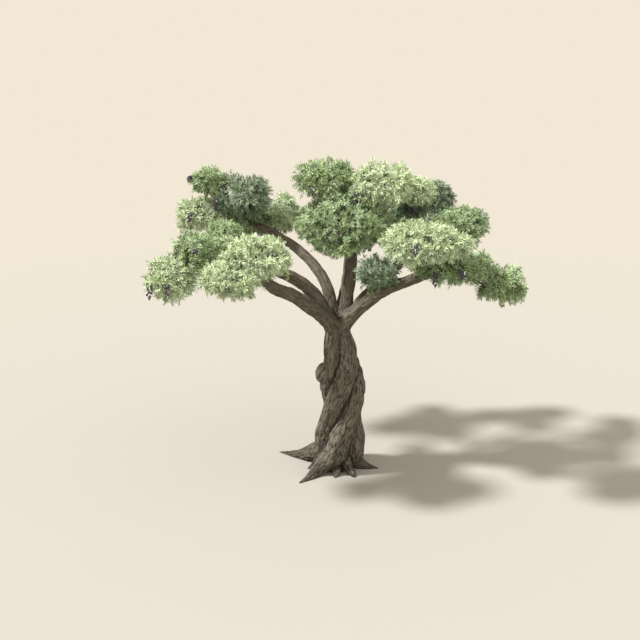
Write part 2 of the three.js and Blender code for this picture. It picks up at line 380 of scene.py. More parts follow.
def wind(root, height):
    """The bearing at a height of what starts up the trunk at the root's bearing."""
    return root + TWIST * float(smoothstep(height, TWIST_FROM, TWIST_TO))


def strand_line(foot, reach, root, thickness):
    """A strand's stations and their radii, from the tip of its root spur up round the trunk to its neck."""
    places, radii = [polar(foot, reach, -SPUR_TIP)], [SPUR_TIP]
    for share, height, radius in SPUR_STATIONS:
        places.append(polar(foot, reach * share, height))
        radii.append(radius * thickness)
    for height in np.linspace(SPUR_KNEE, NECK_HEIGHT, STRAND_STATIONS):
        radius = trunk_radius(height)
        places.append(trunk_axis(height) + polar(wind(root, height), STRAND_OFFSET * radius))
        radii.append(STRAND_RADIUS * radius * thickness)
    return places, radii


def bough_line(name):
    """The stations and radii of a bough and what it grows out of, and which station is at the fork."""
    bearing, bends, end, butt, tip = BOUGHS[name]
    if name in STRANDS:
        places, radii = strand_line(*STRANDS[name])
    else:  # a root that runs down between the strands
        root = bearing - TWIST
        places, radii = [], []
        for height, share in ROOT_STATIONS:
            places.append(trunk_axis(height) + polar(wind(root, height), ROOT_OFFSET * trunk_radius(height)))
            radii.append(share * butt)
    fork = len(places)
    start = trunk_axis(FORK_HEIGHT - BUTT_DEPTH) + polar(bearing, BUTT_OFFSET)
    upper = [start, *bends, end]
    spans = [np.linalg.norm(np.subtract(b, a)) for a, b in zip(upper, upper[1:])]
    share = np.concatenate([[0], np.cumsum(spans)]) / sum(spans)
    slimmed = share ** EARLY_TAPER.get(name, LATE_TAPER)
    return places + upper, radii + list(butt + (tip - butt) * slimmed), fork


def bough_points(name, spacing):
    """Points along a bough above the fork, with its radius at each."""
    places, radii, fork = bough_line(name)
    line, stations = smooth_curve(places, spacing)
    keep = stations >= fork
    return line[keep], np.interp(stations[keep], np.arange(len(radii)), radii)


# ---------- the masses of foliage ----------


CANDIDATES = 10  # places tried for each one that is kept
CLOSEST = 0.8  # share of the spacing under which a place is dropped
LOOK_AHEAD = 0.12  # how far outside the shell to look for another mass
SEAM = 0.05  # a gap to another mass under this counts as a seam
PRESSED = 0.1  # deeper than this inside another mass, half of the places are dropped


class Mass:
    """One mass of foliage, as the CAD has it."""

    def __init__(self, name, slot):
        self.name, self.slot = name, slot
        mesh = frame["nodes"]["foliage_" + name].data
        mesh.calc_loop_triangles()
        self.corners = np.array([v.co for v in mesh.vertices])
        self.triangles = np.array([t.vertices[:] for t in mesh.loop_triangles])
        self.shell = BVHTree.FromPolygons(self.corners.tolist(), self.triangles.tolist())
        self.low, self.high = (np.array(c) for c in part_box("foliage_" + name))
        self.centre = (self.low + self.high) / 2

    def depth(self, point):
        """How far inside the shell a point is. Outside it is negative."""
        near, normal, _, distance = self.shell.find_nearest(Vector(point))
        return distance if (Vector(point) - near).dot(normal) < 0 else -distance

    def scatter(self, random, spacing, others):
        """Points about that far apart over the shell, the way out at each, and where another mass is."""
        a, b, c = (self.corners[self.triangles[:, i]] for i in range(3))
        crosses = np.cross(b - a, c - a)
        areas = np.linalg.norm(crosses, axis=1) / 2
        count = int(CANDIDATES * areas.sum() / spacing**2)
        picked = random.choice(len(areas), count, p=areas / areas.sum())
        u, v = random.random((2, count, 1))
        u, v = np.where(u + v > 1, 1 - u, u), np.where(u + v > 1, 1 - v, v)
        points = a[picked] + (b - a)[picked] * u + (c - a)[picked] * v
        outs = unit(crosses)[picked]
        luck = random.random(count)
        kept, ways, meets = np.empty((0, 3)), [], []
        for point, out, chance in zip(points, outs, luck):
            if len(kept) and np.min(((kept - point) ** 2).sum(1)) < (CLOSEST * spacing) ** 2:
                continue
            ahead = point + out * LOOK_AHEAD
            near = [o for o in others if np.all(ahead > o.low - SEAM) and np.all(ahead < o.high + SEAM)]
            buried = max((o.depth(ahead) for o in near), default=-1.0)
            if chance < 0.5 and buried > PRESSED:  # out of sight
                continue
            kept = np.vstack([kept, point])
            ways.append(out)
            meets.append(buried > -SEAM)
        return kept, np.array(ways), np.array(meets)


def read_masses():
    """Every mass of foliage in the frame, in the order in which they grow."""
    slots = {s["node"]: s["material_slot"] for s in frame["record"]["subparts"]}
    return {name: Mass(name, slots["foliage_" + name]) for name in CARRIED_BY}


# ---------- growth ----------

PIPE_POWER = 2.3  # a limb's radius to this power is the sum of what it carries
SHOOT_RADIUS = 0.0034
THICK = 0.017  # branches thicker than this are part of the wood's own skin
# In branch steps, how near open space has to be to pull a bud, to be filled, and to have no room.
INFLUENCE, REACHED, CROWDED = 6.5, 1.45, 0.45
MOST_STEPS = 90
WANDER = 0.16  # how unsteadily a branch grows towards the light
BUD_SPACING = 0.06
INSET, SEAM_REACH, UNEVENNESS = 0.04, 0.055, 0.03  # how far inside the shell shoots end, in metres
INSET_LIMITS = (-0.05, 0.11)
FACING = (0.45, 0.95)  # how squarely a shoot faces a way to share in its longer shoots: not at all, fully
INNER_DEPTH = (0.1, 0.3)  # how far inside the shell the inner shoots end
SHOOT_REACH = (0.1, 0.2)  # how far short of the tips the branches stop
TIP_LEAN = 0.08  # a shoot is taken to come from this far behind its tip


def colonise(attractors, places, parents, owners, eligible, owner, random, step):
    """Branches of one mass: buds next to open space grow towards it, step by step, until it is filled."""
    live = attractors
    for _ in range(MOST_STEPS):
        ids = np.array(eligible)
        buds = np.array([places[i] for i in eligible])
        gaps = np.linalg.norm(live[:, None] - buds[None], axis=2)
        nearest, gap = gaps.argmin(1), gaps.min(1)
        open_space = gap > REACHED * step
        live, nearest, gap = live[open_space], nearest[open_space], gap[open_space]
        if not len(live):
            break
        pulls = gap < INFLUENCE * step
        if not pulls.any():
            pulls = gap == gap.min()
        grew = False
        for bud in np.unique(nearest[pulls]):
            mine = live[pulls & (nearest == bud)]
            heading = unit(unit(mine - buds[bud]).mean(0) + WANDER * random.standard_normal(3))
            tip = buds[bud] + heading * step
            if np.min(((buds - tip) ** 2).sum(1)) < (CROWDED * step) ** 2:
                continue
            places.append(tip)
            parents.append(int(ids[bud]))
            owners.append(owner)
            eligible.append(len(places) - 1)
            grew = True
        if not grew:
            break


class Growth:
    """The branches and shoots of the whole crown, from one seed."""

    def __init__(self, settings):
        self.random = np.random.default_rng(settings.seed)
        self.masses = read_masses()
        self.step = settings.branch_step
        self.places, self.parents, self.owners, self.fixed = [], [], [], {}
        for name in BOUGHS:
            self.add_bough(name)
        self.shoots = {}
        for name, carrier in CARRIED_BY.items():
            self.fill(self.masses[name], carrier, settings)
        self.places = np.array(self.places)
        self.settle()

    def add_bough(self, name):
        """A bough's upper part, as buds that branches can leave."""
        line, radii = bough_points(name, BUD_SPACING)
        first = int(LONG_BARE.get(name, BARE_SHARE) * len(line))
        for i in range(first, len(line)):
            self.parents.append(-1 if i == first else len(self.places) - 1)
            self.fixed[len(self.places)] = radii[i]
            self.places.append(line[i])
            self.owners.append("bough_" + name)

    def fill(self, mass, carrier, settings):
        """Branches into one mass, and the ends of its shoots."""
        random = self.random
        others = [m for m in self.masses.values() if m is not mass]
        points, outs, meets = mass.scatter(random, settings.shoot_spacing, others)
        # Shoots reach further where two masses meet, so that no sky shows in the seam.
        inset = INSET - SEAM_REACH * meets + UNEVENNESS * random.standard_normal(len(points))
        inset = np.clip(inset, *INSET_LIMITS)
        for bearing, elevation, reach in LONG_SHOOTS.get(mass.name, ()):
            inset -= reach * smoothstep(outs @ towards(bearing, elevation), *FACING)
        tips = points - outs * inset[:, None]
        inner = random.random(len(points)) < settings.inner_share
        depth = random.uniform(*INNER_DEPTH, inner.sum())[:, None]
        tips = np.vstack([tips, points[inner] - outs[inner] * depth])
        outs = np.vstack([outs, outs[inner]])
        eligible = [i for i, owner in enumerate(self.owners) if owner == carrier]
        pull = tips + unit(mass.centre - tips) * random.uniform(*SHOOT_REACH, len(tips))[:, None]
        colonise(pull, self.places, self.parents, self.owners, eligible, mass.name, random, self.step)
        own = [i for i in eligible if self.owners[i] == mass.name] or eligible
        buds = np.array([self.places[i] for i in own])
        # A shoot starts behind its tip, as seen along the way out, and not beside it.
        gaps = np.linalg.norm((tips - outs * TIP_LEAN)[:, None] - buds[None], axis=2)
        starts = np.array(own)[gaps.argmin(1)]
        hidden = np.concatenate([np.zeros(len(inner), bool), np.ones(inner.sum(), bool)])
        self.shoots[mass.name] = {"starts": starts, "tips": tips, "outs": outs, "hidden": hidden}

    def settle(self):
        """Radii by what each branch carries, then the branches eased into smooth lines."""
        count = len(self.places)
        load = np.zeros(count)
        for shoots in self.shoots.values():
            np.add.at(load, shoots["starts"], SHOOT_RADIUS**PIPE_POWER)
        for i in range(count - 1, -1, -1):
            load[i] = max(load[i], SHOOT_RADIUS**PIPE_POWER)
            if self.parents[i] >= 0:
                load[self.parents[i]] += load[i]
        self.radii = load ** (1 / PIPE_POWER)
        for i, radius in self.fixed.items():  # a bough keeps its own
            self.radii[i] = radius
        children = [[] for _ in range(count)]
        for i, parent in enumerate(self.parents):
            if parent >= 0 and i not in self.fixed:
                children[parent].append(i)
        self.main = [max(c, key=lambda k: self.radii[k]) if c else -1 for c in children]
        self.children = children
        for _ in range(2):
            eased = self.places.copy()
            for i in range(count):
                if i not in self.fixed and self.main[i] >= 0:
                    ends = self.places[self.parents[i]] + self.places[self.main[i]]
                    eased[i] = 0.5 * self.places[i] + 0.25 * ends
            self.places = eased

    def branches(self):
        """Each branch as a line with its radii, from the limb it leaves to its last bud."""
        lines = []
        for i in range(len(self.places)):
            for child in self.children[i]:
                if child == self.main[i] and i not in self.fixed:
                    continue
                chain = [child]
                while self.main[chain[-1]] >= 0:
                    chain.append(self.main[chain[-1]])
                places = np.vstack([self.places[i], self.places[chain]])
                radii = self.radii[chain]
                # It flares a little where it leaves, but stays slimmer than the limb that it leaves.
                start = min(self.radii[i] * 0.8, radii[0] * 1.25)
                radii = np.concatenate([[start], np.minimum(radii, start)])
                if len(radii) > 3:
                    radii[1:-1] = (radii[:-2] + radii[1:-1] + radii[2:]) / 3
                lines.append((places, radii))
        return lines


_grown = {}


def grown():
    """The growth for the present settings, worked out once."""
    settings = bpy.context.scene.olive_crown
    key = tuple(getattr(settings, name) for name in ("seed", "branch_step", "shoot_spacing", "inner_share"))
    if key not in _grown:
        _grown.clear()
        _grown[key] = Growth(settings)
    return _grown[key]


# ---------- wood ----------

LINE_SPACING = 0.03  # between places along a limb's line
YOUNGER_BOUGH = 0.45  # how much less old a bough's bark looks than the trunk's, which is 1
BRANCH_AGE = 0.25
BLOCK = 4000  # corners worked on at a time, to save memory
LIMB_SHIFT = 0.37  # moves the bark's pattern on from limb to limb, so that no two are alike


def wood_lines(growth):
    """Every limb in the wood's skin: its line, and at each place its radius and age, 1 for the trunk."""
    lines = []
    for name in BOUGHS:
        places, radii, fork = bough_line(name)
        line, stations = smooth_curve(places, LINE_SPACING)
        age = 1 - YOUNGER_BOUGH * smoothstep(stations, fork - 0.5, fork + 1)
        lines.append((line, np.interp(stations, np.arange(len(radii)), radii) + SKIN_ALLOWANCE, age))
    for bearing, reach in TOES:
        places = [polar(bearing, share * reach, height) for share, height in TOE_STATIONS]
        inside = TOE_OFFSET * trunk_radius(TOE_TOP)
        places.append(trunk_axis(TOE_TOP) + polar(wind(bearing, TOE_TOP), inside))
        line, stations = smooth_curve(places, LINE_SPACING)
        radius = np.interp(stations, range(len(TOE_RADII)), TOE_RADII)
        lines.append((line, radius, np.ones(len(line))))
    for places, radii in growth.branches():
        thick = int((radii > THICK).sum())
        if thick >= 2:
            line, stations = smooth_curve(places[: thick + 1], LINE_SPACING)
            radius = np.interp(stations, np.arange(thick + 1), radii[: thick + 1])
            lines.append((line, radius, np.full(len(line), BRANCH_AGE)))
    return lines


def swelling(centre, radii):
    """A closed egg shape."""
    egg = bmesh.new()
    bmesh.ops.create_icosphere(egg, subdivisions=4, radius=1)
    corners, triangles = mesh_arrays(egg)
    return corners * radii + centre, triangles


def wood_parts(lines):
    """Overlapping closed shapes that make up the wood: its limbs, the core, the fork and the burr."""
    parts = [tube(line, radii, 24 if age.max() > 0.4 else 12) for line, radii, age in lines]
    heights = np.linspace(-BURIED_FOOT, FORK_HEIGHT - HEAD_DEPTH, 30)
    core = np.array([trunk_axis(z) for z in heights])
    share = CORE_RADIUS + CORE_FLARE * (1 - smoothstep(heights, 0.0, CORE_FLARE_HEIGHT))
    parts.append(tube(core, share * [trunk_radius(max(z, 0)) for z in heights], 24))
    parts.append(swelling(trunk_axis(FORK_HEIGHT - HEAD_DEPTH), HEAD_RADIUS))
    burr = trunk_axis(BURR["height"]) + polar(BURR["bearing"], BURR["offset"])
    parts.append(swelling(burr, np.array([BURR["width"], BURR["width"], BURR["tall"]]) / 2))
    return parts


def one_skin(parts, voxel):
    """Overlapping closed shapes as one closed skin."""
    rough = make_piece("rough_wood", *joined(parts), [])
    remesh = rough.modifiers.new("skin", "REMESH")
    remesh.mode = "VOXEL"
    remesh.voxel_size = voxel
    ease = rough.modifiers.new("ease", "SMOOTH")
    ease.factor, ease.iterations = 0.5, 2
    graph = bpy.context.evaluated_depsgraph_get()
    skin = bpy.data.meshes.new_from_object(rough.evaluated_get(graph))
    bpy.data.objects.remove(rough)
    return skin


def grain_of(corners, lines):
    """Which limb each corner of the skin is on, where along and round it, and how near the next limb is."""
    samples = np.vstack([line for line, _, _ in lines])
    radii = np.concatenate([radius for _, radius, _ in lines])
    starts = np.cumsum([0] + [len(line) for line, _, _ in lines[:-1]])
    frames = [untwisted(line) for line, _, _ in lines]
    heading, across, beside = (np.vstack([f[i] for f in frames]) for i in range(3))
    lengths = [np.cumsum(np.linalg.norm(np.diff(line, axis=0), axis=1)) for line, _, _ in lines]
    along = np.concatenate([np.concatenate([[0], length]) for length in lengths])
    best = np.empty(len(corners), int)
    margin = np.empty(len(corners))
    for first in range(0, len(corners), BLOCK):
        block = corners[first : first + BLOCK]
        square = (block**2).sum(1)[:, None] + (samples**2).sum(1)[None] - 2 * block @ samples.T
        score = np.sqrt(np.maximum(square, 0)) - radii
        each = np.minimum.reduceat(score, starts, axis=1)
        two = np.partition(each, 1, axis=1)[:, :2]
        best[first : first + BLOCK] = score.argmin(1)
        margin[first : first + BLOCK] = two[:, 1] - two[:, 0]
    limb = np.searchsorted(starts, best, side="right") - 1
    arm = corners - samples[best]
    lengthwise = (arm * heading[best]).sum(1)
    angle = np.arctan2((arm * beside[best]).sum(1), (arm * across[best]).sum(1))
    return {
        "limb": limb,
        "along": along[best] + lengthwise,
        "angle": angle,
        "radius": radii[best],
        "margin": margin,
        "nominal": np.array([radius.mean() for _, radius, _ in lines])[limb],
        "age": np.concatenate([age for _, _, age in lines])[best],
    }


def noise_at(points, seed):
    """Smooth noise from -1 to 1 at each point."""
    shifted = (points + seed * 17.3).tolist()
    return np.array([noise.noise(p) for p in shifted])


# What stands out on the bark or is cut into it: its width round a limb and its length along it, in metres.
RIB_SIZE = (0.11, 0.8)  # cords of wood a hand wide
FURROW_SIZE = (0.042, 0.2)  # the plates of bark between one crack and the next
PLATE_SIZE = (0.026, 0.07)  # their own rough faces, a thumb wide
KNOT_SIZE = 0.13  # swellings the size of a fist
NARROWNESS = 2.2  # of the cracks
RIB_RISE, KNOT_RISE, PLATE_RISE = 0.02, 0.012, 0.0035  # in metres, on the trunk
CRACK_DEPTH, OLD_CRACK_DEPTH = 0.007, 0.008  # on any limb, and how much more on the trunk
MEETING, MEETING_RELIEF = 0.03, 0.35  # how near another limb the bark is shallower, and its share there
BARE_FOOT = 0.06  # it fades out over this height above the flat cut
CLEFT_SHADE_WIDTH = 0.05  # width of the painted shade in the clefts between the strands, where shade falls
CLEFT_SHADE_ENDS = (1.9, 2.25)  # heights between which the painted shade in the clefts fades out, below the fork
FOOT_DARKENING, FOOT_DARKENING_HEIGHT = 0.5, 0.4  # how much darker the bark is at the ground, and the height over which that fades out
DARKEST = 1.4


def bark_relief(grain, corners, strength):
    """How far the bark stands out at each corner, in metres, and how dark it is painted: 1 deep in a furrow,
    where the darkness is partly the bark's own colour and partly painted shade, with painted shade in the
    clefts between the strands and a darker foot.
    """
    # Noise runs round each limb and is drawn out along it, as the wood's grain is.
    round_x = np.cos(grain["angle"]) * grain["nominal"]
    round_y = np.sin(grain["angle"]) * grain["nominal"]
    limb_shift = grain["limb"] * 3.7

    def drawn(width, length, seed):
        points = np.stack([round_x / width, round_y / width, grain["along"] / length + limb_shift], 1)
        return noise_at(points, seed)

    ribs, plates = drawn(*RIB_SIZE, seed=1), drawn(*PLATE_SIZE, seed=3)
    furrow = 1 - np.abs(drawn(*FURROW_SIZE, seed=2)) * NARROWNESS
    knots = noise_at(corners / KNOT_SIZE, 4)
    old, height = grain["age"], corners[:, 2]
    crack = np.clip(furrow, 0, 1) ** 2
    relief = RIB_RISE * old * ribs + KNOT_RISE * old * knots - (CRACK_DEPTH + OLD_CRACK_DEPTH * old) * crack
    relief += PLATE_RISE * plates
    ease = smoothstep(grain["margin"], 0.0, MEETING)
    foot = smoothstep(height, 0.0, BARE_FOOT)
    # painted shade: near another limb, below the fork, the bark is painted darker, as shade falls in the
    # clefts between the strands
    below_fork = 1 - smoothstep(height, *CLEFT_SHADE_ENDS)
    between = below_fork * old * (1 - smoothstep(grain["margin"], 0.0, CLEFT_SHADE_WIDTH))
    # the bark is darker towards the ground
    darker_foot = FOOT_DARKENING * (1 - smoothstep(height, 0.0, FOOT_DARKENING_HEIGHT))
    # painted darkness: in the cracks partly the bark's own colour and partly painted shade, darker where the
    # plates' noise is low, painted shade in the clefts, darker towards the ground
    dark = np.clip(0.75 * crack + 0.25 * (0.5 - plates) + 1.1 * between + darker_foot, 0, DARKEST)
    return relief * strength * (MEETING_RELIEF + (1 - MEETING_RELIEF) * ease) * foot, dark


def strip_map(mesh, grain, lines):
    """A UV map with each limb unrolled into a strip of its own, all at one scale."""
    gutter, beyond = 0.04, 0.25  # room left beside a strip, and past each end of it
    waste = 1.12  # the strips don't fill the map
    sizes = []
    for k, (line, radii, _) in enumerate(lines):
        length = np.linalg.norm(np.diff(line, axis=0), axis=1).sum()
        sizes.append((2 * math.pi * radii.mean() + 2 * gutter, length + 2 * beyond, k))
    order = sorted(sizes, key=lambda s: -s[1])
    width = math.sqrt(sum(w * h for w, h, _ in sizes)) * waste
    spots, x, y, row = {}, 0.0, 0.0, 0.0
    for w, h, k in order:
        if x + w > width:
            x, y, row = 0.0, y + row, 0.0
        spots[k] = (x, y)
        x, row = x + w, max(row, h)
    side = max(width, y + row)
    count = len(mesh.polygons)
    starts, totals = np.empty(count, int), np.empty(count, int)
    mesh.polygons.foreach_get("loop_start", starts)
    mesh.polygons.foreach_get("loop_total", totals)
    ids = np.empty(len(mesh.loops), int)
    mesh.loops.foreach_get("vertex_index", ids)
    owner = np.repeat(np.arange(count), totals)
    lead = ids[starts][owner]
    limb = grain["limb"][lead]
    mean_radius = np.array([radii.mean() for _, radii, _ in lines])[limb]
    turn = (grain["angle"][ids] - grain["angle"][lead] + math.pi) % (2 * math.pi) - math.pi
    beside = np.clip(turn * mean_radius, -0.9 * gutter, 0.9 * gutter)
    left = np.array([spots[k][0] for k in range(len(lines))])[limb]
    low = np.array([spots[k][1] for k in range(len(lines))])[limb]
    ahead = np.clip(grain["along"][ids] - grain["along"][lead], -gutter, gutter)
    u = (left + gutter + (grain["angle"][lead] + math.pi) * mean_radius + beside) / side
    v = (low + beyond + grain["along"][lead] + ahead) / side
    layer = mesh.uv_layers.new(name="OFBake")
    layer.data.foreach_set("uv", np.stack([u, v], 1).astype(np.float32).ravel())


def cut_flat(mesh):
    """Cuts the foot flat at ground level, and closes the cut."""
    wood = bmesh.new()
    wood.from_mesh(mesh)
    everything = wood.verts[:] + wood.edges[:] + wood.faces[:]
    bmesh.ops.bisect_plane(wood, geom=everything, plane_co=(0, 0, 0), plane_no=(0, 0, 1), clear_inner=True)
    rim = [e for e in wood.edges if e.is_boundary]
    bmesh.ops.holes_fill(wood, edges=rim, sides=0)
    bmesh.ops.triangulate(wood, faces=[f for f in wood.faces if len(f.verts) > 4])
    wood.to_mesh(mesh)
    wood.free()


def straightened(grain):
    """Where each corner would be if its limb were straight: two places across the limb and one along it."""
    across = np.cos(grain["angle"]) * grain["radius"]
    beside = np.sin(grain["angle"]) * grain["radius"]
    return np.stack([across, beside, grain["along"] + grain["limb"] * LIMB_SHIFT], 1)


def set_attribute(mesh, name, kind, values):
    """Stores a value for each corner."""
    attribute = mesh.attributes.new(name, kind, "POINT")
    field = "vector" if kind == "FLOAT_VECTOR" else "value"
    attribute.data.foreach_set(field, np.asarray(values, np.float32).ravel())


def corners_of(mesh):
    """A mesh's corners as an array."""
    flat = np.empty(len(mesh.vertices) * 3)
    mesh.vertices.foreach_get("co", flat)
    return flat.reshape(-1, 3)


# ---------- finishes ----------


# Noise drawn out along the grain: its width and length in metres, and the node's other inputs.
BARK_NOISES = {
    "patches": (0.24, 0.6, {"Detail": 3.0}),  # weathered patches, a hand or two across
    "streaks": (0.03, 0.16, {"Detail": 4.0, "Roughness": 0.6}),  # ridges 30 mm wide
    "fibres": (0.009, 0.06, {"Detail": 2.0}),  # the ragged grain, 9 mm wide
    "wobble": (0.06, 0.12, {"Detail": 2.0}),  # what bends the cracks
    "plates": (0.04, 0.16, None),  # old bark cracks into plates of about 40 by 160 mm
}


def bark_material(colours):
    """Olive bark, weathered: dry and matt, grey on the ridges and near black in the furrows, where the dark
    is partly the bark's own colour and partly painted shade.
    """
    material, tree, shader = new_material("olive_bark_weathered")
    grain = add_node(tree, "ShaderNodeAttribute", attribute_name="grain").outputs["Vector"]
    furrow = add_node(tree, "ShaderNodeAttribute", attribute_name="furrow").outputs["Fac"]
    age = add_node(tree, "ShaderNodeAttribute", attribute_name="age").outputs["Fac"]

    noises = {}
    for name, (width, length, inputs) in BARK_NOISES.items():
        scale = {0: grain, 1: (1 / width, 1 / width, 1 / length)}
        place = add_node(tree, "ShaderNodeVectorMath", scale, operation="MULTIPLY").outputs[0]
        if name == "plates":
            bend = {0: noises["wobble"]["Color"], 1: (1.6, 1.6, 1.6), 2: place}
            bent = add_node(tree, "ShaderNodeVectorMath", bend, operation="MULTIPLY_ADD").outputs[0]
            where = {"Vector": bent, "Scale": 1.0}
            cells = add_node(tree, "ShaderNodeTexVoronoi", where, feature="DISTANCE_TO_EDGE")
            noises[name] = cells.outputs
        else:
            where = {"Vector": place, "Scale": 1.0, **inputs}
            noises[name] = add_node(tree, "ShaderNodeTexNoise", where).outputs

    # Each value runs from one number to another over a range of its source. Real cracks are 1 to
    # 3 mm wide. They are drawn at 8 mm, so that they show at the tree's full height.
    values = {}
    for name, source, low, high, at_low, at_high in (
        ("edge", noises["plates"]["Distance"], 0.0, 0.13, 1.0, 0.0),
        ("ridge", noises["streaks"]["Fac"], 0.33, 0.67, 0.0, 1.0),
        ("fine", noises["fibres"]["Fac"], 0.3, 0.7, 0.0, 1.0),
        ("weather", noises["patches"]["Fac"], 0.35, 0.7, 0.0, 0.5),
        ("young", age, 0.2, 1.0, 0.45, 0.0),
        ("rough", noises["streaks"]["Fac"], 0.3, 0.7, 0.96, 0.82),
    ):
        ends = {"Value": source, 1: low, 2: high, 3: at_low, 4: at_high}
        values[name] = add_node(tree, "ShaderNodeMapRange", ends).outputs[0]
    crack = add_node(tree, "ShaderNodeMath", {0: values["edge"], 1: age}, operation="MULTIPLY").outputs[0]

    # Ridges and fibres lighten the bark and stand out. Furrows and cracks darken it, partly as the bark's
    # own colour and partly as painted shade, and cracks go in. The darkness read from the mesh also holds
    # the painted shade in the clefts between the strands.
    tone, height = 0.34, values["ridge"]
    for source, weight in ((values["ridge"], 0.38), (values["fine"], 0.28), (furrow, -0.42), (crack, -0.27)):
        added = add_node(tree, "ShaderNodeMath", {0: source, 1: weight, 2: tone}, operation="MULTIPLY_ADD")
        tone = added.outputs[0]
    for source, weight in ((values["fine"], 0.4), (crack, -0.9)):
        added = add_node(tree, "ShaderNodeMath", {0: source, 1: weight, 2: height}, operation="MULTIPLY_ADD")
        height = added.outputs[0]

    ramp = add_node(tree, "ShaderNodeValToRGB", {"Fac": tone})
    stops = ramp.color_ramp.elements
    stops[0].position, stops[0].color = 0.12, colours.furrow
    stops[1].position, stops[1].color = 0.88, colours.ridge
    stops.new(0.48).color = colours.plate
    colour = ramp.outputs["Color"]
    for share, over in ((values["weather"], colours.stain), (values["young"], colours.bough)):
        mix = add_node(tree, "ShaderNodeMix", {"Factor": share, 6: colour, 7: over}, data_type="RGBA")
        colour = mix.outputs[2]
    bump = add_node(tree, "ShaderNodeBump", {"Height": height, "Distance": 0.01, "Strength": 0.85})
    tree.links.new(colour, shader.inputs["Base Color"])
    tree.links.new(values["rough"], shader.inputs["Roughness"])
    tree.links.new(bump.outputs[0], shader.inputs["Normal"])
    shader.inputs["IOR"].default_value = 1.45
    shader.inputs["Specular IOR Level"].default_value = 0.25
    return material


def plain_material(name, colour, roughness, inputs):
    """A finish of one colour, for things too small for a pattern on them to show."""
    material, _, shader = new_material(name)
    for socket, value in {"Base Color": colour, "Roughness": roughness, **inputs}.items():
        shader.inputs[socket].default_value = value
    return material


# ---------- settings ----------


def colour_property(name, description, code):
    """A colour with its default as an sRGB hex code."""
    return bpy.props.FloatVectorProperty(
        name=name, description=description, default=linear(code), size=4, min=0, max=1, subtype="COLOR"
    )


def length_property(name, description, default, low, high):
    """A length in metres, and its limits."""
    return bpy.props.FloatProperty(
        name=name, description=description, default=default, min=low, max=high, unit="LENGTH"
    )


def light_property(name, description, default):
    """The strength of a light."""
    return bpy.props.FloatProperty(name=name, description=description, default=default, min=0, max=20)


def angle_property(name, description, degrees):
    """An angle, kept in radians."""
    radians = math.radians(degrees)
    return bpy.props.FloatProperty(
        name=name, description=description, default=radians, min=0, max=math.pi, subtype="ANGLE"
    )


class OliveBark(bpy.types.PropertyGroup):
    """The trunk and boughs."""

    voxel: length_property("Skin detail", "Smallest detail in the wood's shape", 0.0168, 0.008, 0.05)
    relief: bpy.props.FloatProperty(
        name="Relief", description="Depth of ribs and furrows, 1 for an old tree", default=1.0, min=0, max=2
    )
    ridge: colour_property("Ridge", "Weathered outer bark, on the ridges", "#857d6f")
    plate: colour_property("Plate", "Bark between the furrows", "#676055")
    # painted shade: this near black fills the furrows and the clefts, partly the bark's own colour and
    # partly painted shade
    furrow: colour_property("Furrow", "Bottom of the furrows", "#2c2823")
    stain: colour_property("Stain", "Patches that weather differently", "#554e44")
    bough: colour_property("Bough", "Younger, smoother bark of the boughs", "#5a5346")
    twig: colour_property("Twig", "Skin of the thin branches", "#5c5746")
    shoot: colour_property("Shoot", "Skin of this year's shoots", "#848c6c")


class OliveCrown(bpy.types.PropertyGroup):
    """How the crown grows."""

    seed: bpy.props.IntProperty(
        name="Seed", description="Another number grows another crown", default=7, min=0
    )
    branch_step: length_property("Branch step", "Length of each step that a branch grows", 0.075, 0.04, 0.2)
    shoot_spacing: length_property(
        "Shoot spacing", "Distance between leafy shoots over a mass of foliage", 0.123, 0.08, 0.4
    )
    inner_share: bpy.props.FloatProperty(
        name="Inner shoots",
        description="Share of the shoots that have another behind them, inside the mass",
        default=0.3,
        min=0,
        max=1,
        subtype="FACTOR",
    )


class OliveLeaves(bpy.types.PropertyGroup):
    """The leaves' size and colours."""

    length: length_property("Length", "Length of a full leaf", 0.08, 0.03, 0.2)
    width: length_property("Width", "Width of a full leaf", 0.021, 0.006, 0.06)
    pale_face: colour_property("Pale face", "Leaf faces in the palest masses", "#aebc9b")
    pale_silver: colour_property("Pale silver", "Shoots that show their undersides there", "#bccaa5")
    pale_young: colour_property("Pale young", "This year's leaves there", "#b2c197")
    mid_face: colour_property("Middle face", "Leaf faces in most masses", "#8a9e75")
    mid_silver: colour_property("Middle silver", "Shoots that show their undersides there", "#a1b48d")
    mid_young: colour_property("Middle young", "This year's leaves there", "#96a977")
    dark_face: colour_property("Dark face", "Leaf faces in the darkest masses", "#687a60")
    dark_silver: colour_property("Dark silver", "Shoots that show their undersides there", "#899981")
    dark_young: colour_property("Dark young", "This year's leaves there", "#728667")


class OliveFruit(bpy.types.PropertyGroup):
    """The fruit."""

    length: length_property("Length", "Length of an olive", 0.047, 0.015, 0.08)
    width: length_property("Width", "Width of an olive", 0.035, 0.01, 0.06)
    ripe: colour_property("Ripe", "Skin of a ripe olive", "#3a2f40")
    turning: colour_property("Turning", "Skin of an olive that is turning", "#5b3f52")
    green: colour_property("Green", "Skin of an unripe olive", "#76864f")


class OliveStage(bpy.types.PropertyGroup):
    """Floor, light and camera."""

    floor: colour_property("Floor", "The pale floor's paint", "#9b9892")
    air: colour_property("Air", "The pale air behind and above", "#f2e8d5")
    sun: light_property("Key light", "Strength of the key light from the left", 6.08)
    fill: light_property("Fill light", "Strength of the very soft light from the right", 1.16)
    softness: angle_property("Key softness", "How wide the key light looks from the tree", 6.5)
    fill_softness: angle_property("Fill softness", "How wide the fill light looks from the tree", 100)


# ---------- leaves and shoots ----------


def curved(starts, ends, bends, count):
    """Lines from starts to ends that bow by bends at the middle, each of count places."""
    share = np.linspace(0, 1, count)[None, :, None]
    straight = starts[:, None] + (ends - starts)[:, None] * share
    return straight + bends[:, None] * (4 * share * (1 - share))


def along_lines(lines, shares):
    """Places and headings at those shares of each line's length."""
    last = lines.shape[1] - 1
    at = shares * last
    index = np.minimum(at.astype(int), last - 1)
    a, b = lines[:, index], lines[:, index + 1]
    return a + (b - a) * (at - index)[None, :, None], unit(b - a)


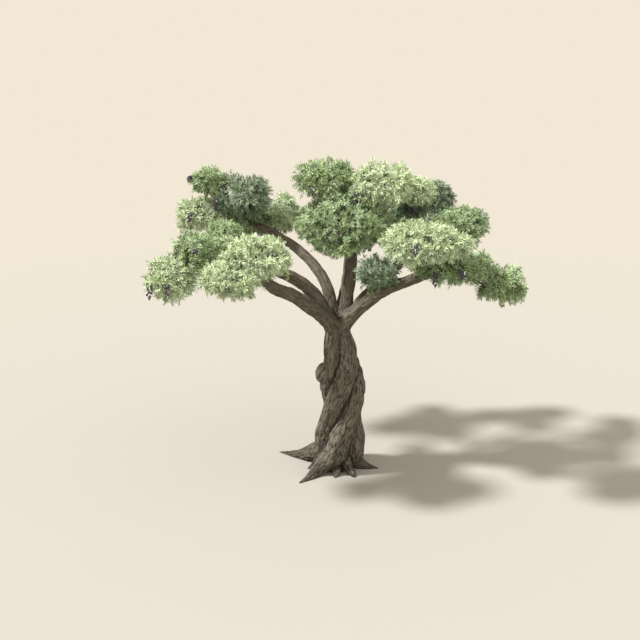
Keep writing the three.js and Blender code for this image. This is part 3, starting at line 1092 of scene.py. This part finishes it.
def thin_tubes(lines, butts):
    """Tapering tubes along lines of as many places each, closed at the butt and ending in a point."""
    sides, slimmest = 3, 0.45
    count, steps, _ = lines.shape
    heading = unit(lines[:, -1] - lines[:, 0])
    guess = np.where(np.abs(heading[:, 2:]) < 0.9, UP, np.array([1.0, 0, 0]))
    across = unit(np.cross(heading, guess))
    beside = np.cross(heading, across)
    turn = np.arange(sides) * 2 * math.pi / sides
    ring = across[:, None] * np.cos(turn)[:, None] + beside[:, None] * np.sin(turn)[:, None]
    radii = butts[:, None] * np.linspace(1, slimmest, steps - 1)
    walls = lines[:, :-1, None] + ring[:, None] * radii[:, :, None, None]
    corners = np.concatenate([walls.reshape(count, -1, 3), lines[:, -1:]], 1)
    pattern = [(0, 2, 1)]
    for row in range(steps - 2):
        for side in range(sides):
            a, b = sides * row + side, sides * row + (side + 1) % sides
            pattern += [(a, b, b + sides), (a, b + sides, a + sides)]
    top = sides * (steps - 2)
    pattern += [(top + side, top + (side + 1) % sides, top + sides) for side in range(sides)]
    each = corners.shape[1]
    triangles = np.array(pattern)[None] + (np.arange(count) * each)[:, None, None]
    return corners.reshape(-1, 3), triangles.reshape(-1, 3)


# A leaf's outline: share of its length, share of its half width, and rise of its edge above the midrib.
LEAF_OUTLINE = np.array(
    [
        (0.0, 0.0, 0.0),
        (0.3, -0.86, 0.3),
        (0.66, -0.8, 0.34),
        (1.0, 0.0, 0.0),
        (0.66, 0.8, 0.34),
        (0.3, 0.86, 0.3),
    ]
)
LEAF_FACES = np.array([(0, 1, 2), (0, 2, 3), (0, 3, 4), (0, 4, 5)])  # folded along the midrib
LEAF_SPREAD = (62, 36)  # degrees between a leaf and its shoot, at the shoot's foot and at its end
LEAF_DROOP = 0.12
LEAF_SHRINK = (1, 0.8)  # size of the leaves at the shoot's foot and at its end
END_LEAF = 0.75
SKYWARD = 0.3  # how much a leaf's face turns up from the way out
UNEVEN_SPREAD, UNEVEN_FACES = 0.14, 0.24
LEAF_SIZES, LEAF_WIDTHS = (0.78, 1.12), (0.85, 1.15)  # how far leaves differ, as shares of a full one
LAST_PAIR = 0.95  # share of the shoot's length


def leaf_blades(places, headings, faces, lengths, widths):
    """Lance-shaped leaves, each folded a little along its midrib."""
    beside = np.cross(faces, headings)
    half = (widths / 2)[:, None]
    corners = np.stack(
        [
            places + headings * (lengths[:, None] * x) + beside * (half * y) + faces * (half * z)
            for x, y, z in LEAF_OUTLINE
        ],
        1,
    )
    triangles = LEAF_FACES[None] + (np.arange(len(places)) * len(LEAF_OUTLINE))[:, None, None]
    return corners.reshape(-1, 3), triangles.reshape(-1, 3)


def leaves_on(lines, outs, pairs, from_share, settings, random):
    """Opposite pairs of leaves up each line, each pair square to the last, and one leaf at the end."""
    count = len(lines)
    places, headings = along_lines(lines, np.linspace(from_share, LAST_PAIR, pairs))
    guess = unit(random.standard_normal((count, 1, 3)))
    across = unit(np.cross(headings, guess))
    beside = np.cross(headings, across)
    quarter = (random.uniform(0, math.pi, (count, 1)) + np.arange(pairs) * math.pi / 2)[..., None]
    side = across * np.cos(quarter) + beside * np.sin(quarter)
    spread = np.radians(np.linspace(*LEAF_SPREAD, pairs))[None, :, None]
    spread = spread + random.normal(0, UNEVEN_SPREAD, (count, pairs, 1))
    ahead, aside = headings * np.cos(spread), side * np.sin(spread)
    end, end_heading = along_lines(lines, np.array([1.0]))
    left, right = (unit(ahead + sign * aside - LEAF_DROOP * UP) for sign in (1, -1))
    blades = np.concatenate([left, right, end_heading], 1)
    roots = np.concatenate([places, places, end], 1)
    lift = outs[:, None] + UP * SKYWARD + random.normal(0, UNEVEN_FACES, blades.shape)
    faces = unit(lift - blades * (lift * blades).sum(2, keepdims=True))
    shrink = np.linspace(*LEAF_SHRINK, pairs)
    size = np.concatenate([shrink, shrink, [END_LEAF]])[None] * random.uniform(*LEAF_SIZES, blades.shape[:2])
    lengths = (settings.length * size).ravel()
    widths = (settings.width * size * random.uniform(*LEAF_WIDTHS, size.shape)).ravel()
    return leaf_blades(*(values.reshape(-1, 3) for values in (roots, blades, faces)), lengths, widths)


SHOOT_BOW, SHOOT_ARCH = 0.1, 0.09  # how far a shoot bends any way and up, as shares of its length
SIDE_SHOOTS = ((0.42, 0.95), (0.68, 0.85), (0.25, 0.35))  # share along the main shoot, and the chance of one
HIDDEN_CHANCE = 0.5  # how much rarer they are inside the mass
SIDE_REACH = (0.09, 0.15)
SIDE_AIM = (0.7, 0.75, 0.3)  # how much a side shoot heads along the main one, off it, and out of the mass
SIDE_BOW, SIDE_ARCH = 0.05, 0.12
LEAF_ROOM = 0.05  # what the leaves at a side shoot's end take up
OVERHANG = 0.03  # a side shoot that would stick out of the shell further than this is turned back
TURNED_BACK, CUT_BACK = 0.8, 0.75  # by how much, and to what share of its length


def shoot_lines(growth):
    """Leafy shoots of every mass: the main ones and the side shoots that leave them."""
    random = np.random.default_rng(101)
    along, off, outward = SIDE_AIM
    lines = {}
    for name, shoots in growth.shoots.items():
        mass = growth.masses[name]
        starts = growth.places[shoots["starts"]]
        tips, outs = shoots["tips"], shoots["outs"]
        span = np.linalg.norm(tips - starts, axis=1, keepdims=True)
        bows = SHOOT_BOW * span * unit(random.standard_normal(tips.shape)) + SHOOT_ARCH * span * UP
        main = curved(starts, tips, bows, 5)
        side_sets, side_outs, side_owner = [], [], []
        for share, chance in SIDE_SHOOTS:
            chances = chance * np.where(shoots["hidden"], HIDDEN_CHANCE, 1)
            chosen = np.flatnonzero(random.random(len(main)) < chances)
            places, headings = along_lines(main[chosen], np.array([share]))
            places, headings = places[:, 0], headings[:, 0]
            lean = unit(np.cross(headings, random.standard_normal(headings.shape)))
            aim = unit(along * headings + off * lean + outward * outs[chosen])
            reach = random.uniform(*SIDE_REACH, len(chosen))
            for i in range(len(chosen)):
                beyond = -mass.depth(places[i] + aim[i] * (reach[i] + LEAF_ROOM))
                if beyond > OVERHANG:
                    aim[i] = unit(aim[i] - TURNED_BACK * outs[chosen[i]])
                    reach[i] *= CUT_BACK
            length = reach[:, None]
            ends = places + aim * length
            bend = SIDE_ARCH * length * UP + SIDE_BOW * length * random.standard_normal(ends.shape)
            side_sets.append(curved(places, ends, bend, 3))
            side_outs.append(outs[chosen])
            side_owner.append(chosen)
        lines[name] = {
            "main": main,
            "outs": outs,
            "hidden": shoots["hidden"],
            "side": np.vstack(side_sets),
            "side_outs": np.vstack(side_outs),
            "side_owner": np.concatenate(side_owner),
        }
    return lines


_shoots = {}


def leafy_shoots():
    """The shoots for the present growth, worked out once."""
    growth = grown()
    if growth not in _shoots:
        _shoots.clear()
        _shoots[growth] = shoot_lines(growth)
    return _shoots[growth]


CLUSTER = 11  # olives in a heavy cluster
FEW = (2, 5)  # from 2 to 4 in the others
FEW_CLUSTERS = 2  # of those on each mass
RIPENESS = ("ripe", "turning", "green")
TURNING, GREEN = 1, 2
STAND_OUT = 0.045  # how far outside the shell the middle of a heavy cluster hangs
STALK_END = 0.065  # how far below its middle its stalk ends
STALK_DROP = 0.08  # how far a cluster hangs below the shoot that carries it
STALK_OUT = 0.01  # how far beyond that shoot a small one hangs


def fruit_stalks():
    """The stalks olives hang on: places along each, its mass, the way out, how many olives, how ripe."""
    random = np.random.default_rng(303)
    growth, shoots = grown(), leafy_shoots()
    spots = []
    for name, bearing, elevation, ripeness in FRUIT_CLUSTERS:
        mass = growth.masses[name]
        way = towards(bearing, elevation)
        hit, _, _, _ = mass.shell.ray_cast(Vector(mass.centre), Vector(way))
        middle = np.array(hit) + way * STAND_OUT
        tips = shoots[name]["main"][:, -1]
        tip = tips[np.linalg.norm(tips - middle - UP * STALK_DROP, axis=1).argmin()]
        spots.append((tip, middle - UP * STALK_END, name, way, CLUSTER, RIPENESS.index(ripeness)))
    for name, own in shoots.items():
        outer = np.flatnonzero(~own["hidden"])
        for i in random.choice(outer, FEW_CLUSTERS, replace=False):
            tip, out = own["main"][i][-1], own["outs"][i]
            end = tip + out * STALK_OUT - UP * STALK_DROP
            spots.append((tip, end, name, out, int(random.integers(*FEW)), GREEN))
    starts, ends, owners, outs, counts, kinds = (np.array(column) for column in zip(*spots))
    sideways = (ends - starts) * (1, 1, 0)
    lines = curved(starts, ends, 0.22 * sideways + 0.03 * UP, 5)
    return {"lines": lines, "owners": owners, "outs": outs, "counts": counts, "kinds": kinds}


MAX_TRIANGLES = 195_000  # in one piece
MAIN_PAIRS, SIDE_PAIRS, STALK_PAIRS = 9, 5, 4  # pairs of leaves on a shoot
FIRST_PAIRS = (0.2, 0.25, 0.05)  # share along those shoots at which their leaves begin
SPRAY_SHARES = (0.55, 0.28, 0.17)  # plain faces, silver undersides, young leaves
PAINTED_LIGHT_ON_TOP = 1.5  # painted light: how much commoner the brighter silver sprays are on top of a mass, so that the tops look lit
TONE_AND_LIGHT_SHARES = {  # masses dealt brighter silver sprays or darker plain faces, partly for each mass's own tone and partly as painted light on masses that lie in the crown's shade and painted shade on those that look too bright
    "right_back_middle": (0.1, 0.75, 0.15),
    "centre_shoulder": (0.0, 1.0, 0.0),
    "centre_top_left": (0.25, 0.55, 0.2),
    "left_side_outer": (0.42, 0.38, 0.2),
    "right_front_inner": (0.15, 0.65, 0.2),
    "left_back_upper": (0.15, 0.65, 0.2),
    "right_back_upper": (0.5, 0.45, 0.05),
    "centre_middle": (0.74, 0.12, 0.14),
    "left_back_outer": (0.3, 0.6, 0.1),
    "left_front_upper": (0.2, 0.7, 0.1),
    "centre_top_right": (0.2, 0.7, 0.1),
}


def deal_sprays(shares, outs, random):
    """A finish for each shoot by number. The brighter silver ones are dealt more often on top of a mass, as
    painted light, so that the tops look lit.
    """
    weights = np.tile(shares, (len(outs), 1))
    weights[:, 1] *= np.exp(PAINTED_LIGHT_ON_TOP * outs[:, 2])
    steps = np.cumsum(weights, 1) / weights.sum(1, keepdims=True)
    return (random.random((len(outs), 1)) > steps[:, :2]).sum(1)


LEAF_FINISHES = (  # its name, its colour, its roughness and the shader's other inputs
    # Leathery, with a wax skin that scatters a soft sheen.
    ("waxy", "face", 0.62, {"IOR": 1.45, "Specular IOR Level": 0.25}),
    # Felted with silvery scales, so matt.
    ("felted", "silver", 0.8, {"IOR": 1.4, "Specular IOR Level": 0.2, "Sheen Weight": 0.15}),
    # Thin and fresh, a little glossier.
    ("young", "young", 0.56, {"IOR": 1.45, "Specular IOR Level": 0.35}),
)


def spray_finishes(tone, colours):
    """The leaf finishes of one tone, which are dealt out shoot by shoot."""
    finishes = []
    for finish, colour, roughness, inputs in LEAF_FINISHES:
        name = f"olive_leaf_{tone}_{finish}"
        finishes.append(plain_material(name, getattr(colours, f"{tone}_{colour}"), roughness, inputs))
    return finishes


def leafy_mass(mass, settings, random):
    """One mass's leaves, on its main shoots, side shoots and fruit stalks: corners, triangles, finishes."""
    shoots, stalks = leafy_shoots()[mass.name], fruit_stalks()
    # painted light and shade: spray shares are set mass by mass, and silver is dealt more often to the tops
    spray = deal_sprays(TONE_AND_LIGHT_SHARES.get(mass.name, SPRAY_SHARES), shoots["outs"], random)
    hung = stalks["owners"] == mass.name
    leafy = (
        (shoots["main"], shoots["outs"], MAIN_PAIRS, spray),
        (shoots["side"], shoots["side_outs"], SIDE_PAIRS, spray[shoots["side_owner"]]),
        (stalks["lines"][hung], stalks["outs"][hung], STALK_PAIRS, spray[: hung.sum()]),
    )
    parts, colours = [], []
    for (lines, outs, pairs, finish), first in zip(leafy, FIRST_PAIRS):
        parts.append(leaves_on(lines, outs, pairs, first, settings, random))
        colours.append(np.repeat(finish, (2 * pairs + 1) * len(LEAF_FACES)))
    return *joined(parts), np.concatenate(colours)


# ---------- operators ----------

FLOOR_RINGS = (4, 9, 20, 60, 300)  # radii
FLOOR_FADE = (7.0, 24.0)  # distances from the tree between which the floor turns into air
CAMERA_PLACE = (-0.28, -13.46, 6.25)
CAMERA_DOWN = 15.6  # degrees
LENS, FILM = 50, 36  # focal length and width, in millimetres
GOLDEN_ANGLE = 137.5
HEAVY_FROM, FEW_FROM = 0.35, 0.6  # share of the stalk where the olives of a heavy or a small cluster begin
LAST_BUT_ONE = 0.96  # share of the stalk. The last olive is at its end.
CROWDING = 0.72  # how far they hang from the stalk, in olive widths
AHEAD, SPLAY, UNEVEN_HANG = 0.5, 9, 0.12  # how much an olive hangs along its stalk, outwards, and any way
HANG_BELOW = 0.3  # how far below that its middle is, in olive lengths
OLIVE_SIZES = (0.9, 1.08)
TURNING_SHARE = 0.12


class OLIVE_OT_stage(bpy.types.Operator):
    """Lay the pale floor, and set the light and the camera"""

    bl_idname = "olive.stage"
    bl_label = "Stage"

    def execute(self, context):
        scene = context.scene
        stage = scene.olive_stage
        scene.view_settings.view_transform = "Standard"
        clear_piece("floor")
        sides = 96
        turn = np.linspace(0, 2 * math.pi, sides, endpoint=False)
        circle = np.stack([np.cos(turn), np.sin(turn), np.zeros(sides)], 1)
        corners = np.vstack([[[0, 0, 0]]] + [circle * radius for radius in FLOOR_RINGS])
        here, after = np.arange(sides), (np.arange(sides) + 1) % sides
        triangles = [np.stack([np.zeros(sides, int), 1 + here, 1 + after], 1)]
        for row in range(len(FLOOR_RINGS) - 1):
            low, high = 1 + row * sides, 1 + (row + 1) * sides
            triangles.append(np.stack([low + here, high + here, high + after], 1))
            triangles.append(np.stack([low + here, high + after, low + after], 1))
        # Matt emulsion paint, rolled on: no highlight.
        material, tree, shader = new_material("studio_floor_matt_paint")
        shader.inputs["Base Color"].default_value = stage.floor
        shader.inputs["Roughness"].default_value = 0.95
        shader.inputs["Specular IOR Level"].default_value = 0.1
        # Far from the tree the floor takes the colour of the air, so no line shows where they meet.
        place = add_node(tree, "ShaderNodeNewGeometry").outputs["Position"]
        away = add_node(tree, "ShaderNodeVectorMath", {0: place}, operation="LENGTH").outputs["Value"]
        ends = {"Value": away, 1: FLOOR_FADE[0], 2: FLOOR_FADE[1], 3: 0.0, 4: 1.0}
        fade = add_node(tree, "ShaderNodeMapRange", ends, interpolation_type="SMOOTHSTEP").outputs[0]
        glow = add_node(tree, "ShaderNodeEmission", {"Color": stage.air, "Strength": 1.0}).outputs[0]
        both = add_node(tree, "ShaderNodeMixShader", {0: fade, 1: shader.outputs[0], 2: glow})
        output = next(n for n in tree.nodes if n.type == "OUTPUT_MATERIAL")
        tree.links.new(both.outputs[0], output.inputs["Surface"])
        floor = make_piece("floor", corners, np.vstack(triangles), [material])

        world = bpy.data.worlds.new("pale_air")
        world.use_nodes = True
        background = next(n for n in world.node_tree.nodes if n.type == "BACKGROUND")
        background.inputs["Color"].default_value = stage.air
        background.inputs["Strength"].default_value = 1.0
        scene.world = world

        for name, energy, angle, colour, place, aim in (
            ("key_light", stage.sun, stage.softness, (1.0, 0.99, 0.975), (-8, -1, 8), (0.82, 0.12, -1)),
            ("fill_light", stage.fill, stage.fill_softness, (1, 1, 1), (5, -8, 7), (-0.55, 0.85, -0.8)),
        ):
            clear_piece(name)
            lamp = bpy.data.lights.new(name, "SUN")
            lamp.energy, lamp.angle, lamp.color = energy, angle, colour
            light = bpy.data.objects.new(name, lamp)
            light.location = place
            light.rotation_euler = Vector(aim).to_track_quat("-Z", "Y").to_euler()
            scene.collection.objects.link(light)

        clear_piece("camera")
        lens = bpy.data.cameras.new("camera")
        lens.lens, lens.sensor_width = LENS, FILM
        lens.clip_end = 500
        camera = bpy.data.objects.new("camera", lens)
        camera.location = CAMERA_PLACE
        camera.rotation_euler = (math.radians(90 - CAMERA_DOWN), 0, 0)
        scene.collection.objects.link(camera)
        scene.camera = camera
        return {"FINISHED"}


class OLIVE_OT_wood(bpy.types.Operator):
    """Skin the twisted trunk, its root spurs and the boughs with furrowed bark"""

    bl_idname = "olive.wood"
    bl_label = "Trunk and boughs"

    def execute(self, context):
        settings = context.scene.olive_bark
        clear_piece("wood")
        lines = wood_lines(grown())
        mesh = one_skin(wood_parts(lines), settings.voxel)
        corners = corners_of(mesh)
        normals = np.empty(len(mesh.vertices) * 3)
        mesh.vertices.foreach_get("normal", normals)
        grain = grain_of(corners, lines)
        height, furrow = bark_relief(grain, corners, settings.relief)
        moved = corners + normals.reshape(-1, 3) * height[:, None]
        mesh.vertices.foreach_set("co", moved.astype(np.float32).ravel())
        set_attribute(mesh, "grain", "FLOAT_VECTOR", straightened(grain))
        # the darkness painted into the bark: partly painted shade in the furrows, painted shade in the
        # clefts between the strands, and a darker foot
        set_attribute(mesh, "furrow", "FLOAT", furrow)
        set_attribute(mesh, "age", "FLOAT", grain["age"])
        strip_map(mesh, grain, lines)
        cut_flat(mesh)
        mesh.materials.append(bark_material(settings))
        mesh.polygons.foreach_set("use_smooth", np.full(len(mesh.polygons), True))
        mesh.update()
        wood = bpy.data.objects.new("wood", mesh)
        context.scene.collection.objects.link(wood)
        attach(wood, BODY)
        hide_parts("trunk", *("bough_" + name for name in BOUGHS))
        return {"FINISHED"}


class OLIVE_OT_branches(bpy.types.Operator):
    """Grow the branches that fork through each mass of foliage"""

    bl_idname = "olive.branches"
    bl_label = "Branches"

    def execute(self, context):
        clear_piece("branches")
        parts = []
        for places, radii in grown().branches():
            thin = max(int((radii > THICK).sum()) - 1, 0)
            if len(radii) - thin < 2:
                continue
            places, radii = places[thin:], radii[thin:]
            parts.append(tube(places, radii, 5 if radii[0] > 0.009 else 4))
        # Smooth grey skin, dull, not yet cracked.
        skin = plain_material("olive_branch_smooth_bark", context.scene.olive_bark.twig, 0.85, {"IOR": 1.45})
        piece = make_piece("branches", *joined(parts), [skin], smooth=True)
        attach(piece, BODY)
        return {"FINISHED"}


class OLIVE_OT_twigs(bpy.types.Operator):
    """Grow the leafy shoots"""

    bl_idname = "olive.twigs"
    bl_label = "Twigs"

    def execute(self, context):
        clear_piece("twigs")
        sets = [(fruit_stalks()["lines"], 0.8)]
        for shoots in leafy_shoots().values():
            sets += [(shoots["main"], 1), (shoots["side"], 0.65)]
        parts = [thin_tubes(lines, np.full(len(lines), SHOOT_RADIUS * share)) for lines, share in sets]
        # Green-grey skin of this year's wood, slightly waxy.
        skin = plain_material("olive_shoot_green_bark", context.scene.olive_bark.shoot, 0.7, {"IOR": 1.45})
        piece = make_piece("twigs", *joined(parts), [skin], smooth=True)
        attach(piece, BODY)
        return {"FINISHED"}


class OLIVE_OT_leaves(bpy.types.Operator):
    """Leaf out every shoot, in the tone of its mass"""

    bl_idname = "olive.leaves"
    bl_label = "Leaves"

    def execute(self, context):
        settings = context.scene.olive_leaves
        random = np.random.default_rng(202)
        for tone in ("pale", "mid", "dark"):
            finishes = spray_finishes(tone, settings)
            batches, size = [[]], 0
            for name, mass in grown().masses.items():
                if mass.slot != "leaves_" + tone:
                    continue
                corners, triangles, colour = leafy_mass(mass, settings, random)
                if size + len(triangles) > MAX_TRIANGLES:
                    batches.append([])
                    size = 0
                size += len(triangles)
                batches[-1].append((name, corners, triangles, colour))
            for number, batch in enumerate(batches, 1):
                piece_name = f"leaves_{tone}_{number}"
                clear_piece(piece_name)
                corners, triangles = joined([part[1:3] for part in batch])
                colour = np.concatenate([part[3] for part in batch])
                piece = make_piece(piece_name, corners, triangles, finishes, colour)
                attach(piece, BODY)
                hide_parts(*("foliage_" + part[0] for part in batch))
        return {"FINISHED"}


class OLIVE_OT_fruit(bpy.types.Operator):
    """Hang the olives, in clusters under the leaves"""

    bl_idname = "olive.fruit"
    bl_label = "Fruit"

    def execute(self, context):
        settings = context.scene.olive_fruit
        random = np.random.default_rng(404)
        egg = bmesh.new()
        bmesh.ops.create_uvsphere(egg, u_segments=8, v_segments=6, radius=0.5)
        bmesh.ops.triangulate(egg, faces=egg.faces)
        shape, faces = mesh_arrays(egg)
        # The faces come in another order each run, so they are sorted, each from its lowest corner.
        faces = np.array(sorted(min((a, b, c), (b, c, a), (c, a, b)) for a, b, c in faces.tolist()))
        parts, colours = [], []
        stalks = fruit_stalks()
        for line, count, kind in zip(stalks["lines"], stalks["counts"], stalks["kinds"]):
            begin = HEAVY_FROM if count == CLUSTER else FEW_FROM
            shares = np.append(np.linspace(begin, LAST_BUT_ONE, count - 1), 1.0)
            places, headings = along_lines(line[None], shares)
            first = random.uniform(0, 360)
            for i, (place, heading) in enumerate(zip(places[0], headings[0])):
                # They crowd round the stalk, a golden angle apart, with the last one at its end.
                aside = polar(first + GOLDEN_ANGLE * i, 0.0 if i == count - 1 else CROWDING * settings.width)
                axis = unit(AHEAD * heading - UP + SPLAY * aside + random.normal(0, UNEVEN_HANG, 3))
                beside = unit(np.cross(axis, random.standard_normal(3)))
                across = np.cross(axis, beside)
                wide = settings.width * random.uniform(*OLIVE_SIZES)
                tall = settings.length * random.uniform(*OLIVE_SIZES)
                turned = np.stack([beside * wide, across * wide, axis * tall])
                parts.append((place + aside + axis * HANG_BELOW * tall + shape @ turned, faces))
                as_dealt = random.random() < 1 - TURNING_SHARE or kind == GREEN
                colours.append(np.full(len(faces), kind if as_dealt else TURNING))
        # Ripe olive skin is smooth under a thin bloom of wax, so its highlight is small and soft.
        skin = {"IOR": 1.45, "Coat Weight": 0.3}
        finishes = [
            plain_material("olive_fruit_" + ripeness, getattr(settings, ripeness), roughness, skin)
            for ripeness, roughness in zip(RIPENESS, (0.34, 0.36, 0.38))
        ]
        clear_piece("fruit")
        piece = make_piece("fruit", *joined(parts), finishes, np.concatenate(colours), smooth=True)
        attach(piece, BODY)
        return {"FINISHED"}


class OLIVE_PT_panel(bpy.types.Panel):
    """Settings and steps, in the order in which they run"""

    bl_idname = "OLIVE_PT_panel"
    bl_label = "Olive Tree"
    bl_space_type = "VIEW_3D"
    bl_region_type = "UI"
    bl_category = "Olive Tree"

    def draw(self, context):
        groups = ("olive_stage", "olive_bark", "olive_crown", "olive_leaves", "olive_fruit")
        for group in groups:
            box = self.layout.box()
            settings = getattr(context.scene, group)
            box.label(text=group.replace("_", " ").capitalize())
            for name in settings.__annotations__:
                box.prop(settings, name)
        for operator in OPERATORS:
            self.layout.operator(operator.bl_idname)


GROUPS = {
    "olive_stage": OliveStage,
    "olive_bark": OliveBark,
    "olive_crown": OliveCrown,
    "olive_leaves": OliveLeaves,
    "olive_fruit": OliveFruit,
}
OPERATORS = (
    OLIVE_OT_stage,
    OLIVE_OT_wood,
    OLIVE_OT_branches,
    OLIVE_OT_twigs,
    OLIVE_OT_leaves,
    OLIVE_OT_fruit,
)


def register():
    """Adds the settings, operators and panel to Blender."""
    for name, group in GROUPS.items():
        bpy.utils.register_class(group)
        setattr(bpy.types.Scene, name, bpy.props.PointerProperty(type=group))
    for cls in (*OPERATORS, OLIVE_PT_panel):
        bpy.utils.register_class(cls)


def unregister():
    """Takes them away again."""
    for cls in reversed((*OPERATORS, OLIVE_PT_panel)):
        bpy.utils.unregister_class(cls)
    for name, group in reversed(GROUPS.items()):
        delattr(bpy.types.Scene, name)
        bpy.utils.unregister_class(group)


def main():
    """Builds every piece in order."""
    register()
    bpy.ops.olive.stage()
    bpy.ops.olive.wood()
    bpy.ops.olive.branches()
    bpy.ops.olive.twigs()
    bpy.ops.olive.leaves()
    bpy.ops.olive.fruit()
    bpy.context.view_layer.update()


if __name__ == "__main__":
    main()
